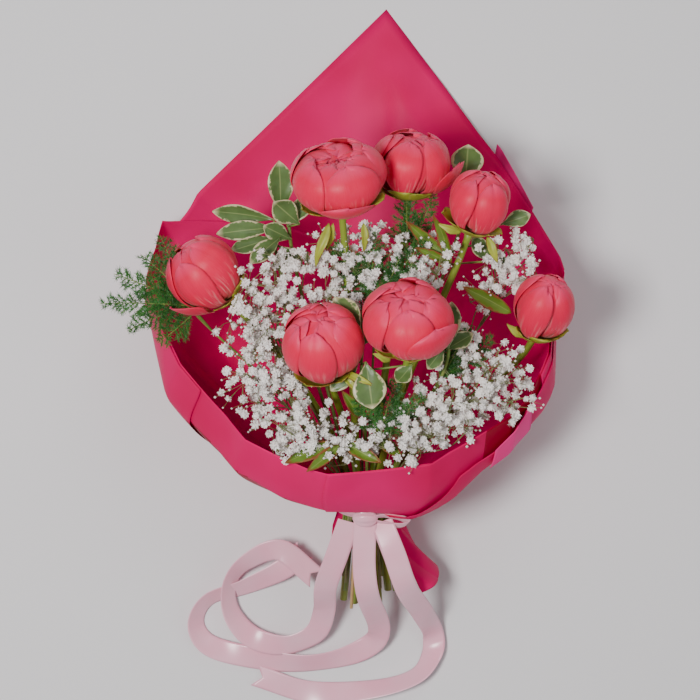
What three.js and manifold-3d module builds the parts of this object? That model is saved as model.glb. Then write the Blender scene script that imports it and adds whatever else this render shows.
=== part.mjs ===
// Hand-tied bunch of peonies with filler flowers, foliage, film wrap and a satin ribbon, lying on its back.
// Millimetres. +X to the right, +Y towards the flower heads, +Z up from the surface.
// Every place below is measured from the middle of the tie, where all the stems cross.
import * as THREE from 'three';
import Module from 'manifold-3d';

const wasm = await Module();
wasm.setup();
const { Manifold, Mesh } = wasm;

// ---- driving dimensions ----
const TIE_HEIGHT = 75;
const LEAN = 30;
const FOOT_LEAN = 22;
const PEONY_STEM_R = 3.4;
const STEM_GAP = 0.6;
const THIN_STEM_R = 1.3;
const STICK_R = 1.5;
const BLOOM_SIZE = 1.0;
const SEPAL_T = 1.2;
const SEPAL_LIFT = 3.0;
const PETAL_T = 1.1;
const LEAF_T = 1.0;
const FLORET_R = 4.3;
const FILM_T = 0.8;
const FILM_STEP = 1.8;
const FILM_TURN = 10;
const FILM_ROWS = 8;
const TAIL_ROWS = 4;
const WRAP_SIZE = 1.0;
const RIBBON_W = 22;
const RIBBON_T = 1.0;
const BAND_CLEARANCE = 3.44;
const GAP = 0.4;

const FLOOR = -TIE_HEIGHT;
const SLOT_PITCH = PEONY_STEM_R * 2 + STEM_GAP;
const BAND_H = RIBBON_W * 0.48;
const BAND_RISE = BAND_H + BAND_CLEARANCE;
const FILM_LAYERS = 5;
const THIN_RING_R = SLOT_PITCH * 2 + PEONY_STEM_R + THIN_STEM_R + 1.0;
const WAIST_R = THIN_RING_R * 1.08 + THIN_STEM_R + 1.2 + FILM_T / 2;
const BAND_R = WAIST_R + FILM_LAYERS * FILM_STEP + 1.6;

const rad = THREE.MathUtils.degToRad;
const V = (x, y, z) => new THREE.Vector3(x, y, z);
const AXIS = V(0, Math.cos(rad(LEAN)), Math.sin(rad(LEAN)));
const FRONT = V(0, -Math.sin(rad(LEAN)), Math.cos(rad(LEAN)));
const SIDE = V(1, 0, 0);
const FOOT = V(0, -Math.cos(rad(FOOT_LEAN)), -Math.sin(rad(FOOT_LEAN)));

const mix = (a, b, t) => a + (b - a) * t;
const clamp = (x, a, b) => Math.min(b, Math.max(a, x));
const smooth = (t) => t * t * (3 - 2 * t);

function randomiser(seed) {
  let s = seed * 7919 + 17;
  return () => {
    s = (s * 48271) % 2147483647;
    return s / 2147483647;
  };
}

function frameOf(dir, hint = V(0, 0, 1)) {
  const w = dir.clone().normalize();
  const h = Math.abs(w.dot(hint)) > 0.95 ? V(1, 0, 0) : hint;
  const u = h.clone().cross(w).normalize();
  return { u, v: w.clone().cross(u), w };
}

// ---- closed solids ----
function solid(points, faces) {
  const vertProperties = new Float32Array(points.flatMap((p) => [p.x, p.y, p.z]));
  return new Manifold(new Mesh({ numProp: 3, vertProperties, triVerts: new Uint32Array(faces.flat()) }));
}

function signedVolume(points, faces) {
  return faces.reduce((sum, [a, b, c]) => sum + points[a].dot(points[b].clone().cross(points[c])), 0);
}

function outward(points, faces) {
  return signedVolume(points, faces) > 0 ? faces : faces.map(([a, b, c]) => [a, c, b]);
}

// a closed skin over rings of points, with one point at each end
function ringed(start, rings, end) {
  const n = rings[0].length;
  const points = [start, ...rings.flat(), end];
  const at = (i, j) => 1 + i * n + (j % n);
  const last = points.length - 1;
  const faces = [];
  for (let j = 0; j < n; j += 1) {
    faces.push([0, at(0, j + 1), at(0, j)]);
    faces.push([last, at(rings.length - 1, j), at(rings.length - 1, j + 1)]);
    for (let i = 0; i + 1 < rings.length; i += 1) {
      faces.push([at(i, j), at(i, j + 1), at(i + 1, j + 1)]);
      faces.push([at(i, j), at(i + 1, j + 1), at(i + 1, j)]);
    }
  }
  return solid(points, outward(points, faces));
}

// a tube along points, with its own half-widths across the two directions
function tube(path, rOf, sides = 6, hint = V(0, 0, 1), flat = 1) {
  const rings = path.map((p, i) => {
    const a = path[Math.max(0, i - 1)];
    const b = path[Math.min(path.length - 1, i + 1)];
    const f = frameOf(b.clone().sub(a), hint);
    const r = rOf(i / (path.length - 1));
    return Array.from({ length: sides }, (_, k) => {
      const t = (2 * Math.PI * (k + 0.5)) / sides;
      return p.clone().addScaledVector(f.u, r * Math.cos(t)).addScaledVector(f.v, r * flat * Math.sin(t));
    });
  });
  return ringed(path[0].clone(), rings, path[path.length - 1].clone());
}

// a sheet with thickness over a grid of points
function sheet(fn, nu, nv, t, shift = 0) {
  const grid = [];
  for (let i = 0; i <= nu; i += 1) {
    for (let j = 0; j <= nv; j += 1) grid.push(fn(i / nu, j / nv));
  }
  const at = (i, j) => clamp(i, 0, nu) * (nv + 1) + clamp(j, 0, nv);
  const normal = (i, j) => {
    const du = grid[at(i + 1, j)].clone().sub(grid[at(i - 1, j)]);
    const dv = grid[at(i, j + 1)].clone().sub(grid[at(i, j - 1)]);
    return du.cross(dv).normalize();
  };
  const top = [];
  const bottom = [];
  for (let i = 0; i <= nu; i += 1) {
    for (let j = 0; j <= nv; j += 1) {
      const p = grid[at(i, j)];
      top.push(p.clone().addScaledVector(normal(i, j), shift + t / 2));
      bottom.push(p.clone().addScaledVector(normal(i, j), shift - t / 2));
    }
  }
  return { top, bottom, nu, nv };
}

// rowsAt gives the number of rows kept in each column
function closeSheet({ top, bottom, nu, nv }, rowsAt = () => nv) {
  const m = top.length;
  const points = [...top, ...bottom];
  const at = (i, j) => i * (nv + 1) + j;
  const faces = [];
  const tile = (a, b, c) => {
    faces.push([a, b, c], [m + a, m + c, m + b]);
  };
  for (let i = 0; i < nu; i += 1) {
    const [here, next] = [rowsAt(i), rowsAt(i + 1)];
    for (let j = 0; j < Math.min(here, next); j += 1) {
      tile(at(i, j), at(i + 1, j), at(i + 1, j + 1));
      tile(at(i, j), at(i + 1, j + 1), at(i, j + 1));
    }
    for (let j = next; j < here; j += 1) tile(at(i, j), at(i + 1, next), at(i, j + 1));
    for (let j = here; j < next; j += 1) tile(at(i, here), at(i + 1, j), at(i + 1, j + 1));
  }
  const rim = [];
  for (let i = 0; i < nu; i += 1) rim.push(at(i, 0));
  for (let j = 0; j < rowsAt(nu); j += 1) rim.push(at(nu, j));
  for (let i = nu; i > 0; i -= 1) rim.push(at(i, rowsAt(i)));
  for (let j = rowsAt(0); j > 0; j -= 1) rim.push(at(0, j));
  rim.forEach((a, k) => {
    const b = rim[(k + 1) % rim.length];
    faces.push([a, m + a, m + b], [a, m + b, b]);
  });
  return solid(points, outward(points, faces));
}

// ---- keeping pieces apart: capsules already taken ----
const taken = [];

function gapBetween(p1, q1, p2, q2) {
  const d1 = q1.clone().sub(p1);
  const d2 = q2.clone().sub(p2);
  const r = p1.clone().sub(p2);
  const a = d1.lengthSq();
  const e = d2.lengthSq();
  const f = d2.dot(r);
  const c = d1.dot(r);
  const b = d1.dot(d2);
  const den = a * e - b * b;
  let s = den > 1e-9 ? clamp((b * f - c * e) / den, 0, 1) : 0;
  const t = e > 1e-9 ? clamp((b * s + f) / e, 0, 1) : 0;
  s = a > 1e-9 ? clamp((b * t - c) / a, 0, 1) : 0;
  return p1.clone().addScaledVector(d1, s).distanceTo(p2.clone().addScaledVector(d2, t));
}

function isClear(p, q, r, owner) {
  if (Math.min(p.z, q.z) - r < FLOOR + 8) return false;
  return taken.every((o) => o.owner === owner || gapBetween(p, q, o.p, o.q) > r + o.r + GAP);
}

function take(p, q, r, owner) {
  taken.push({ p, q, r, owner });
}

function takePath(path, r, owner) {
  for (let i = 0; i + 1 < path.length; i += 1) take(path[i], path[i + 1], r, owner);
}

function pathIsClear(path, r, owner) {
  return path.every((p, i) => i === 0 || isClear(path[i - 1], p, r, owner));
}

const nodes = [];

function add(name, body, colour) {
  if (body.decompose().length !== 1) throw new Error(`${name} is not one body`);
  nodes.push({ name, body, colour });
}

// ---- film: one surface round the bunch, given by ribs from the tie to the rim ----
// angle round the stems (0 front, 90 right, 180 back), then the points the rib runs through
const RIBS = [
  [-180, [5, 75, -53], [15, 205, -71], [20, 345, -73], [22, 486, -73]],
  [-150, [-28, 72, -48], [-78, 195, -69], [-128, 272, -70], [-164, 300, -52]],
  [-130, [-54, 62, -36], [-122, 165, -46], [-176, 240, -34], [-196, 272, -18]],
  [-100, [-62, 40, -17], [-140, 110, -10], [-198, 178, 13], [-206, 214, 43]],
  [-70, [-58, 18, 3], [-125, 60, 22], [-170, 100, 46], [-172, 132, 84]],
  [-40, [-42, 8, 30], [-86, 12, 42], [-118, 34, 70], [-112, 62, 108]],
  [-10, [-17, 4, 44], [-30, 0, 60], [-39, 10, 90], [-35, 33, 125]],
  [10, [20, 4, 44], [39, 2, 60], [56, 14, 90], [60, 40, 125]],
  [40, [43, 12, 30], [85, 22, 42], [124, 54, 70], [135, 88, 108]],
  [70, [54, 28, 3], [115, 68, 23], [158, 105, 46], [170, 143, 84]],
  [100, [60, 50, -17], [126, 110, -9], [173, 168, 13], [184, 208, 43]],
  [130, [52, 66, -36], [114, 150, -46], [162, 210, -28], [186, 236, -4]],
  [150, [38, 75, -48], [80, 186, -69], [115, 270, -70], [134, 346, -62]],
  [180, [5, 75, -53], [15, 205, -71], [20, 345, -73], [22, 486, -73]],
];

function ribPoint(index, s) {
  const [angle, ...pts] = RIBS[clamp(index, 0, RIBS.length - 1)];
  const a = rad(angle);
  const r = SIDE.clone().multiplyScalar(Math.sin(a)).addScaledVector(FRONT, Math.cos(a));
  const waist = r.clone().multiplyScalar(WAIST_R).addScaledVector(AXIS, -1);
  const neck = waist.clone().addScaledVector(AXIS, BAND_RISE + 1);
  const all = pts.map((p) => V(...p).multiplyScalar(WRAP_SIZE));
  return new THREE.CatmullRomCurve3([waist, neck, ...all]).getPoint(clamp(s, 0, 1));
}

// between the ribs the film is drawn flatter towards the rim, and quite flat at the back
function filmBase(angle, s) {
  const a = ((angle + 180 + 720) % 360) - 180;
  let k = 0;
  while (k + 2 < RIBS.length && RIBS[k + 1][0] < a) k += 1;
  const t = (a - RIBS[k][0]) / (RIBS[k + 1][0] - RIBS[k][0]);
  const p = [k - 1, k, k + 1, k + 2].map((i) => {
    if (i < 0) return ribPoint(RIBS.length - 2, s);
    if (i >= RIBS.length) return ribPoint(1, s);
    return ribPoint(i, s);
  });
  const curved = new THREE.CatmullRomCurve3(p, false, 'catmullrom', 0.5).getPoint((1 + t) / 3);
  const straight = p[1].clone().lerp(p[2], t);
  const crisp = Math.abs(a) >= 130 ? 1 : 0.6;
  return curved.lerp(straight, crisp * smooth(clamp((s - 0.2) / 0.35, 0, 1)));
}

// the tail under the tie flares widest on the right
function filmTail(angle, s) {
  const a = rad(angle);
  const flare = 16 + 30 * Math.exp(-(((angle - 85) / 42) ** 2));
  const r = SIDE.clone().multiplyScalar(Math.sin(a)).addScaledVector(FRONT, Math.cos(a));
  const out = WAIST_R + flare * s ** 1.5 * WRAP_SIZE;
  return r.multiplyScalar(out).addScaledVector(AXIS, -1).addScaledVector(FOOT, 80 * s * WRAP_SIZE);
}

// s runs from -1 at the tail under the tie, through 0 at the tie, to 1 at the rim
function filmPoint(angle, s, layer) {
  const place = (a, t) => (t < 0 ? filmTail(a, -t) : filmBase(a, t));
  const e = 1 / FILM_ROWS;
  const du = place(angle + FILM_TURN, s).sub(place(angle - FILM_TURN, s));
  const dv = place(angle, Math.min(s + e, 1)).sub(place(angle, s - (s > 0 ? e : 1 / TAIL_ROWS)));
  const n = du.cross(dv).normalize();
  const core = AXIS.clone().multiplyScalar(60 * Math.max(s, 0) - 1);
  const p = place(angle, s);
  if (n.dot(p.clone().sub(core)) < 0) n.negate();
  p.addScaledVector(n, layer * FILM_STEP);
  const least = FLOOR + FILM_T / 2 + (FILM_LAYERS - 1 - layer) * FILM_STEP;
  p.z = Math.max(p.z, least);
  return p;
}

// every sheet uses the same grid of angles and rows, so the layers stay parallel
const SHEETS = [
  { name: 'film_front_left', layer: 0, from: -80, to: 10, tail: 0, rows: FILM_ROWS },
  { name: 'film_front_right', layer: 1, from: -10, to: 80, tail: 0, rows: FILM_ROWS },
  { name: 'film_left_wing', layer: 2, from: -170, to: -60, tail: 0, rows: FILM_ROWS, cut: [6, 6, 6, 7] },
  { name: 'film_right_wing', layer: 3, from: 60, to: 170, tail: TAIL_ROWS, rows: FILM_ROWS },
  { name: 'film_back', layer: 4, from: 120, to: 240, tail: TAIL_ROWS, rows: FILM_ROWS },
  { name: 'film_front_band', layer: 4, from: 0, to: 90, tail: 0, rows: FILM_ROWS - 1 },
];

for (const f of SHEETS) {
  const nu = (f.to - f.from) / FILM_TURN;
  const nv = f.rows + f.tail;
  const at = (i, j) => filmPoint(f.from + i * FILM_TURN, j < f.tail ? (j - f.tail) / TAIL_ROWS : (j - f.tail) / FILM_ROWS, f.layer);
  const rowsAt = (i) => (f.cut && i < f.cut.length ? f.cut[i] : nv);
  const grid = sheet((u, v) => at(Math.round(u * nu), Math.round(v * nv)), nu, nv, FILM_T);
  add(f.name, closeSheet(grid, rowsAt), 0xe6006b);
  for (let i = 0; i < nu; i += 1) {
    for (let j = 0; j < nv; j += 1) {
      const r = j - f.tail < 3 ? 1.7 : 3;
      for (const t of [0, 0.25, 0.5, 0.75, 1]) {
        take(at(i, j).lerp(at(i + 1, j), t), at(i, j + 1).lerp(at(i + 1, j + 1), t), r, f.name);
      }
    }
  }
}

// ---- slots for the stems at the tie ----
const slots = [V(0, 0, 0)];
for (const [count, radius, turn] of [[6, SLOT_PITCH, 0], [12, SLOT_PITCH * 2, 15], [16, THIN_RING_R, 0]]) {
  for (let k = 0; k < count; k += 1) {
    const a = rad((360 * k) / count + turn);
    slots.push(SIDE.clone().multiplyScalar(radius * Math.cos(a)).addScaledVector(FRONT, radius * Math.sin(a)));
  }
}
const THICK_SLOTS = 19;
const used = new Set();

function stemPath(slot, end, dir, bend, foot) {
  const reach = slot.distanceTo(end);
  const away = end.clone().addScaledVector(AXIS, -end.dot(AXIS)).normalize();
  const c1 = slot.clone().addScaledVector(AXIS, reach * 0.38).addScaledVector(away, bend * reach);
  c1.addScaledVector(slot, 0.9);
  const c2 = end.clone().addScaledVector(dir, -reach * 0.28);
  const upper = new THREE.CubicBezierCurve3(slot, c1, c2, end).getPoints(7);
  const low = slot.clone().multiplyScalar(1 + (foot / 110) * 0.75).addScaledVector(FOOT, foot);
  return [low, ...upper];
}

// the stem takes the free slot nearest its own side from which it meets nothing else;
// a thin stem may also end a little to one side
function placeStem(owner, aim, dir, r, foot) {
  const thick = r > 2.5;
  const random = randomiser(owner.length * 31 + owner.charCodeAt(owner.length - 1));
  const moves = [V(0, 0, 0)];
  for (let k = 1; !thick && k < 40; k += 1) {
    moves.push(V(random() - 0.5, random() - 0.5, random() - 0.5).multiplyScalar(10 + k * 1.6));
  }
  for (const move of moves) {
    const path = tryStem(owner, aim.clone().add(move), dir, r, foot);
    if (path) return path;
  }
  throw new Error(`no way through for ${owner}`);
}

function tryStem(owner, end, dir, r, foot) {
  const thick = r > 2.5;
  const across = end.clone().addScaledVector(AXIS, -end.dot(AXIS)).multiplyScalar(0.09);
  const order = slots.map((slot, i) => ({ slot, i, cost: slot.distanceTo(across) }));
  const free = order.filter((o) => !used.has(o.i) && (thick ? o.i < THICK_SLOTS : true));
  free.sort((a, b) => a.cost - b.cost);
  for (const bend of [0, 0.05, -0.04, 0.1, 0.16]) {
    for (const { slot, i } of free) {
      const path = stemPath(slot, end, dir, bend, foot);
      if (pathIsClear(path.slice(1), r, owner)) {
        const low = clamp(path[0].z, FLOOR + r + 1, 999);
        path[0].z = low;
        used.add(i);
        takePath(path, r, owner);
        return path;
      }
    }
  }
  return null;
}

// ---- peonies ----
// head: middle of the bloom; face: the way it opens; r and h: half width and half height
const PEONIES = [
  { head: [-25, 297, 143], face: [-0.08, 0.72, 0.69], r: 43, h: 37, dent: 0.34, foot: 104, sepal: 1.2 },
  { head: [42, 317, 90], face: [0.06, 0.9, 0.42], r: 37, h: 34, dent: 0.2, foot: 96, sepal: 1.15 },
  { head: [104, 280, 125], face: [0.24, 0.78, 0.58], r: 28, h: 30, dent: 0.04, foot: 88, sepal: 1.35 },
  { head: [-150, 216, 93], face: [-0.62, 0.66, 0.42], r: 33, h: 35, dent: 0.08, foot: 108, sepal: 1.3 },
  { head: [-39, 151, 156], face: [-0.12, 0.66, 0.74], r: 36, h: 36, dent: 0.12, foot: 100, sepal: 1.25 },
  { head: [37, 172, 176], face: [-0.02, 0.7, 0.71], r: 40, h: 36, dent: 0.16, foot: 112, sepal: 1.2 },
  { head: [165, 184, 97], face: [0.2, 0.72, 0.66], r: 27, h: 34, dent: 0.06, foot: 92, sepal: 1.35 },
];

function bloomPoint(b, theta, phi, lift) {
  const f = b.frame;
  const belly = b.r * (1 + 0.05 * Math.cos(5 * phi) * Math.sin(theta)) + lift;
  const tall = b.h * (1 - b.dent * Math.exp(-((theta / 0.42) ** 2))) + lift;
  const out = belly * Math.sin(theta) * (1 + 0.06 * Math.cos(theta));
  return b.mid.clone()
    .addScaledVector(f.w, tall * Math.cos(theta))
    .addScaledVector(f.u, out * Math.cos(phi))
    .addScaledVector(f.v, out * Math.sin(phi));
}

function bloomRings(b, from, to, n, lift, sides = 14) {
  return Array.from({ length: n }, (_, i) => Array.from({ length: sides }, (_, k) => {
    const phi = (2 * Math.PI * k) / sides;
    const a = typeof from === 'function' ? from(phi) : from;
    const z = typeof to === 'function' ? to(phi) : to;
    return bloomPoint(b, mix(a, z, i / (n - 1)), phi, lift);
  }));
}

PEONIES.forEach((b, i) => {
  b.r *= BLOOM_SIZE;
  b.h *= BLOOM_SIZE;
  b.mid = V(...b.head);
  b.frame = frameOf(V(...b.face));
  b.owner = `peony_${i + 1}`;
  take(b.mid, b.mid.clone().addScaledVector(b.frame.w, 1), Math.max(b.r * 1.08, b.h) + 5, b.owner);
});

PEONIES.forEach((b) => {
  const bloom = ringed(bloomPoint(b, 0, 0, 0), bloomRings(b, 0.22, Math.PI - 0.22, 8, 0), bloomPoint(b, Math.PI, 0, 0));
  add(`${b.owner}_bloom`, bloom, 0xf4515e);
  const edge = (phi) => Math.PI - b.sepal * (0.62 + 0.38 * Math.cos(5 * phi + 1.2) * Math.cos(phi));
  const low = Math.PI - 0.16;
  const inner = bloomRings(b, low, edge, 3, SEPAL_LIFT);
  const outer = bloomRings(b, edge, low, 3, SEPAL_LIFT + SEPAL_T);
  const pole = (lift) => bloomPoint(b, Math.PI, 0, lift);
  add(`${b.owner}_calyx`, ringed(pole(SEPAL_LIFT), [...inner, ...outer], pole(SEPAL_LIFT + SEPAL_T)), 0xa9a83a);
  const end = bloomPoint(b, Math.PI, 0, SEPAL_LIFT + SEPAL_T + GAP);
  b.path = placeStem(b.owner, end, b.frame.w, PEONY_STEM_R, b.foot);
});

// an oval blade from a foot point, along a direction, turned about it
function blade(foot, dir, face, length, width, cup, fullest = 0.55) {
  const w = dir.clone().normalize();
  const u = face.clone().cross(w).normalize();
  const n = w.clone().cross(u);
  const half = (v) => width * 0.5 * Math.max(0.07, Math.sin(Math.PI * v ** (Math.log(0.5) / Math.log(fullest))) ** 0.75);
  const at = (a, v) => foot.clone()
    .addScaledVector(w, length * v)
    .addScaledVector(u, half(v) * a)
    .addScaledVector(n, cup * (a * a * half(v) * 0.5 - length * 0.5 * v * v));
  return { at, half };
}

function bladeBody(b, nv = 4, t = LEAF_T) {
  return closeSheet(sheet((x, y) => b.at(x * 2 - 1, y), 2, nv, t));
}

function bladeBeads(b, length) {
  const beads = [];
  const n = Math.ceil(length / 5);
  for (let j = 0; j <= n; j += 1) {
    for (const a of [-0.9, -0.45, 0, 0.45, 0.9]) beads.push(b.at(a, j / n));
  }
  return beads;
}

function bladeIsClear(b, length, owner) {
  return bladeBeads(b, length).every((p) => isClear(p, p, 3.2, owner));
}

function takeBlade(b, length, owner) {
  bladeBeads(b, length).forEach((p) => take(p, p, 3.2, owner));
}

// leaves grow from points along a path; each one turns until it has room
function growLeaves(owner, path, spots, size, random) {
  const bodies = [];
  for (const [along, out, sweep] of spots) {
    let done = false;
    for (let attempt = 0; attempt < 60 && !done; attempt += 1) {
      const k = clamp(Math.round(along * (path.length - 1)), 0, path.length - 2);
      const t = clamp(along * (path.length - 1) - k, 0, 1);
      const foot = path[k].clone().lerp(path[k + 1], t);
      const f = frameOf(path[k + 1].clone().sub(path[k]));
      const turn = rad(out) + (random() - 0.5) * 0.09 * attempt;
      const lean = rad(sweep) + (random() - 0.5) * 0.04 * attempt;
      const dir = f.w.clone().multiplyScalar(Math.cos(lean))
        .addScaledVector(f.u, Math.sin(lean) * Math.cos(turn))
        .addScaledVector(f.v, Math.sin(lean) * Math.sin(turn));
      const face = f.w.clone().multiplyScalar(-Math.sin(lean)).addScaledVector(V(0, 0, 1), 1.4);
      const length = size.length * (0.85 + 0.3 * random()) * (1 - attempt * 0.008);
      const b = blade(foot, dir, face, length, size.width * (0.9 + 0.2 * random()), size.cup, size.fullest);
      if (!bladeIsClear(b, length, owner)) continue;
      takeBlade(b, length, owner);
      bodies.push(bladeBody(b));
      done = true;
    }
  }
  return bodies;
}

// ---- foliage and filler sprays: all the stems are placed before anything grows from them ----
const PEONY_LEAF = { length: 46, width: 15, cup: 0.25, fullest: 0.42 };
const PITTO_LEAF = { length: 42, width: 22, cup: 0.22, fullest: 0.62 };

const SPRIGS = [
  { name: 'pittosporum_1', end: [-84, 292, 62], dir: [-0.2, 0.9, 0.4], foot: 90, leaf: PITTO_LEAF },
  { name: 'pittosporum_2', end: [-112, 246, 60], dir: [-0.6, 0.7, 0.4], foot: 96, leaf: PITTO_LEAF },
  { name: 'pittosporum_3', end: [92, 312, 52], dir: [0.3, 0.9, 0.3], foot: 84, leaf: PITTO_LEAF },
  { name: 'pittosporum_4', end: [-6, 122, 138], dir: [0, 0.3, 0.95], foot: 92, leaf: PITTO_LEAF },
  { name: 'pittosporum_5', end: [84, 160, 122], dir: [0.35, 0.5, 0.8], foot: 88, leaf: PITTO_LEAF },
  { name: 'peony_foliage', end: [-34, 66, 112], dir: [-0.4, 0.1, 0.9], foot: 84, leaf: PEONY_LEAF },
];

const FERNS = [
  { name: 'fern_left', end: [-226, 200, 108], dir: [-0.95, 0.3, 0.0], foot: 70, length: 74 },
  { name: 'fern_middle', end: [22, 236, 78], dir: [0.1, 0.9, 0.4], foot: 74, length: 80 },
  { name: 'fern_top', end: [46, 262, 40], dir: [0.1, 0.95, 0.3], foot: 66, length: 60 },
  { name: 'fern_right', end: [92, 142, 92], dir: [0.5, 0.7, 0.5], foot: 72, length: 70 },
  { name: 'fern_front', end: [20, 96, 128], dir: [0.1, 0.3, 0.95], foot: 70, length: 62 },
];

const GYPSO = [
  { name: 'gypsophila_1', end: [-104, 178, 88], spread: [52, 48, 40], foot: 78, florets: 11 },
  { name: 'gypsophila_2', end: [-96, 118, 96], spread: [46, 46, 40], foot: 82, florets: 11 },
  { name: 'gypsophila_3', end: [-56, 66, 98], spread: [44, 30, 40], foot: 74, florets: 10 },
  { name: 'gypsophila_4', end: [-2, 226, 92], spread: [48, 44, 36], foot: 80, florets: 11 },
  { name: 'gypsophila_5', end: [64, 206, 88], spread: [44, 44, 38], foot: 76, florets: 11 },
  { name: 'gypsophila_6', end: [62, 84, 98], spread: [46, 38, 40], foot: 84, florets: 11 },
  { name: 'gypsophila_7', end: [112, 116, 84], spread: [42, 42, 36], foot: 80, florets: 11 },
  { name: 'gypsophila_8', end: [142, 220, 66], spread: [38, 40, 34], foot: 72, florets: 9 },
];

[...SPRIGS, ...FERNS, ...GYPSO].forEach((g) => {
  const end = V(...g.end);
  const dir = g.dir ? V(...g.dir) : end.clone().multiplyScalar(0.6).addScaledVector(AXIS, 60);
  g.path = placeStem(g.name, end, dir.normalize(), THIN_STEM_R, g.foot);
});

// ---- guard petals that stand away from the bloom ----
const GUARDS = [
  { peony: 0, phi: 96, spread: 32, from: 2.7, to: 2.0, flare: 12 },
  { peony: 1, phi: 160, spread: 28, from: 2.4, to: 1.3, flare: 8 },
  { peony: 3, phi: 18, spread: 34, from: 2.4, to: 1.4, flare: 6 },
  { peony: 5, phi: 125, spread: 36, from: 2.3, to: 1.15, flare: 2 },
];
GUARDS.forEach((g) => {
  const b = PEONIES[g.peony];
  const body = closeSheet(sheet((x, y) => {
    const wide = g.spread * Math.sin(Math.PI * (0.18 + 0.66 * y));
    const phi = rad(g.phi + (x * 2 - 1) * wide);
    return bloomPoint(b, mix(g.from, g.to, y), phi, 5.2 + g.flare * y * y);
  }, 6, 5, PETAL_T));
  add(`${b.owner}_guard_petal`, body, 0xf4606a);
});


PEONIES.forEach((b, i) => {
  const random = randomiser(40 + i);
  const spots = { 2: [[0.72, 150, 50], [0.72, 190, 38], [0.74, 110, 60]] }[i] ?? [];
  const leaves = growLeaves(b.owner, b.path, spots, PEONY_LEAF, random);
  const stem = tube(b.path, (t) => mix(PEONY_STEM_R, PEONY_STEM_R * 0.85, t), 6);
  add(`${b.owner}_stem`, leaves.reduce((all, leaf) => all.add(leaf), stem), 0x7a8c2a);
});

// ---- foliage sprigs ----
SPRIGS.forEach((g, i) => {
  const random = randomiser(60 + i);
  const path = g.path;
  const spots = [[1, 20, 8], [0.97, 150, 48], [0.95, 330, 55], [0.88, 60, 62]];
  const leaves = growLeaves(g.name, path, spots, g.leaf, random);
  const stem = tube(path, () => THIN_STEM_R, 4);
  add(g.name, leaves.reduce((all, leaf) => all.add(leaf), stem), 0x6e8050);
});

// ---- fern sprays: flat side branches, longest low down ----
FERNS.forEach((g, i) => {
  const random = randomiser(80 + i);
  const path = g.path;
  const reach = path[1].distanceTo(path[path.length - 1]);
  let body = tube(path, () => THIN_STEM_R, 4);
  for (let k = 0; k < 11; k += 1) {
    const along = 1 - (g.length / reach) * (k / 11);
    const at = 1 + along * (path.length - 2);
    const j = clamp(Math.floor(at), 1, path.length - 2);
    const foot = path[j].clone().lerp(path[j + 1], clamp(at - j, 0, 1));
    const f = frameOf(path[j + 1].clone().sub(path[j]));
    const size = mix(18, 44, k / 11) * (0.85 + 0.3 * random());
    for (let attempt = 0; attempt < 12; attempt += 1) {
      const turn = (k % 2) * Math.PI + (random() - 0.5) * (0.8 + attempt * 0.3);
      const dir = f.w.clone().multiplyScalar(0.75).addScaledVector(f.u, Math.cos(turn)).addScaledVector(f.v, Math.sin(turn));
      const tip = foot.clone().addScaledVector(dir.normalize(), size * (1 - attempt * 0.05));
      if (!isClear(foot.clone().lerp(tip, 0.12), tip, 3, g.name)) continue;
      take(foot, tip, 3, g.name);
      const bar = [foot, foot.clone().lerp(tip, 0.4), tip];
      body = body.add(tube(bar, (t) => 0.8 + 2.4 * Math.sin(Math.PI * t), 4, V(0.1, 0.2, 1), 0.3));
      break;
    }
  }
  add(g.name, body, 0x3d6b30);
});

// ---- gypsophila sprays: thin forking branches, each with a floret ----
GYPSO.forEach((g, i) => {
  const random = randomiser(100 + i);
  const path = g.path;
  const end = path[path.length - 1];
  let body = tube(path, () => THIN_STEM_R, 4);
  const forks = [path[path.length - 3], path[path.length - 2], end];
  let made = 0;
  for (let attempt = 0; attempt < 420 && made < g.florets; attempt += 1) {
    const [x, y, z] = [0, 1, 2].map((k) => (random() * 2 - 1) * g.spread[k]);
    const tip = end.clone().add(V(x, y, z + g.spread[2] * 0.45));
    const foot = forks[Math.floor(random() * forks.length)];
    const r = FLORET_R * (0.85 + 0.35 * random());
    if (tip.distanceTo(foot) < 16) continue;
    if (!isClear(foot, tip, 1, g.name) || !isClear(tip, tip, r, g.name)) continue;
    take(foot, tip, 1, g.name);
    take(tip, tip, r, g.name);
    const twig = tube([foot, tip], () => 0.7, 3);
    const f = frameOf(tip.clone().sub(foot));
    const ball = Manifold.sphere(r, 4).rotate([random() * 90, random() * 90, 0]).translate([tip.x, tip.y, tip.z]);
    body = body.add(twig).add(ball);
    forks.push(foot.clone().lerp(tip, 0.35).addScaledVector(f.u, 0));
    made += 1;
  }
  add(g.name, body, 0xf4efe9);
});

// ---- wooden stick among the stems ----
{
  const runs = slots.filter((_, i) => !used.has(i)).map((slot) => [
    slot.clone().multiplyScalar(1.66).addScaledVector(FOOT, 96),
    slot,
    slot.clone().multiplyScalar(1.06).addScaledVector(AXIS, 18),
  ]);
  const run = runs.find((path) => path[0].z > FLOOR + 4 && pathIsClear(path, STICK_R, 'wooden_stick'));
  add('wooden_stick', tube(run, () => STICK_R, 6), 0xc9a36a);
}

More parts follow.
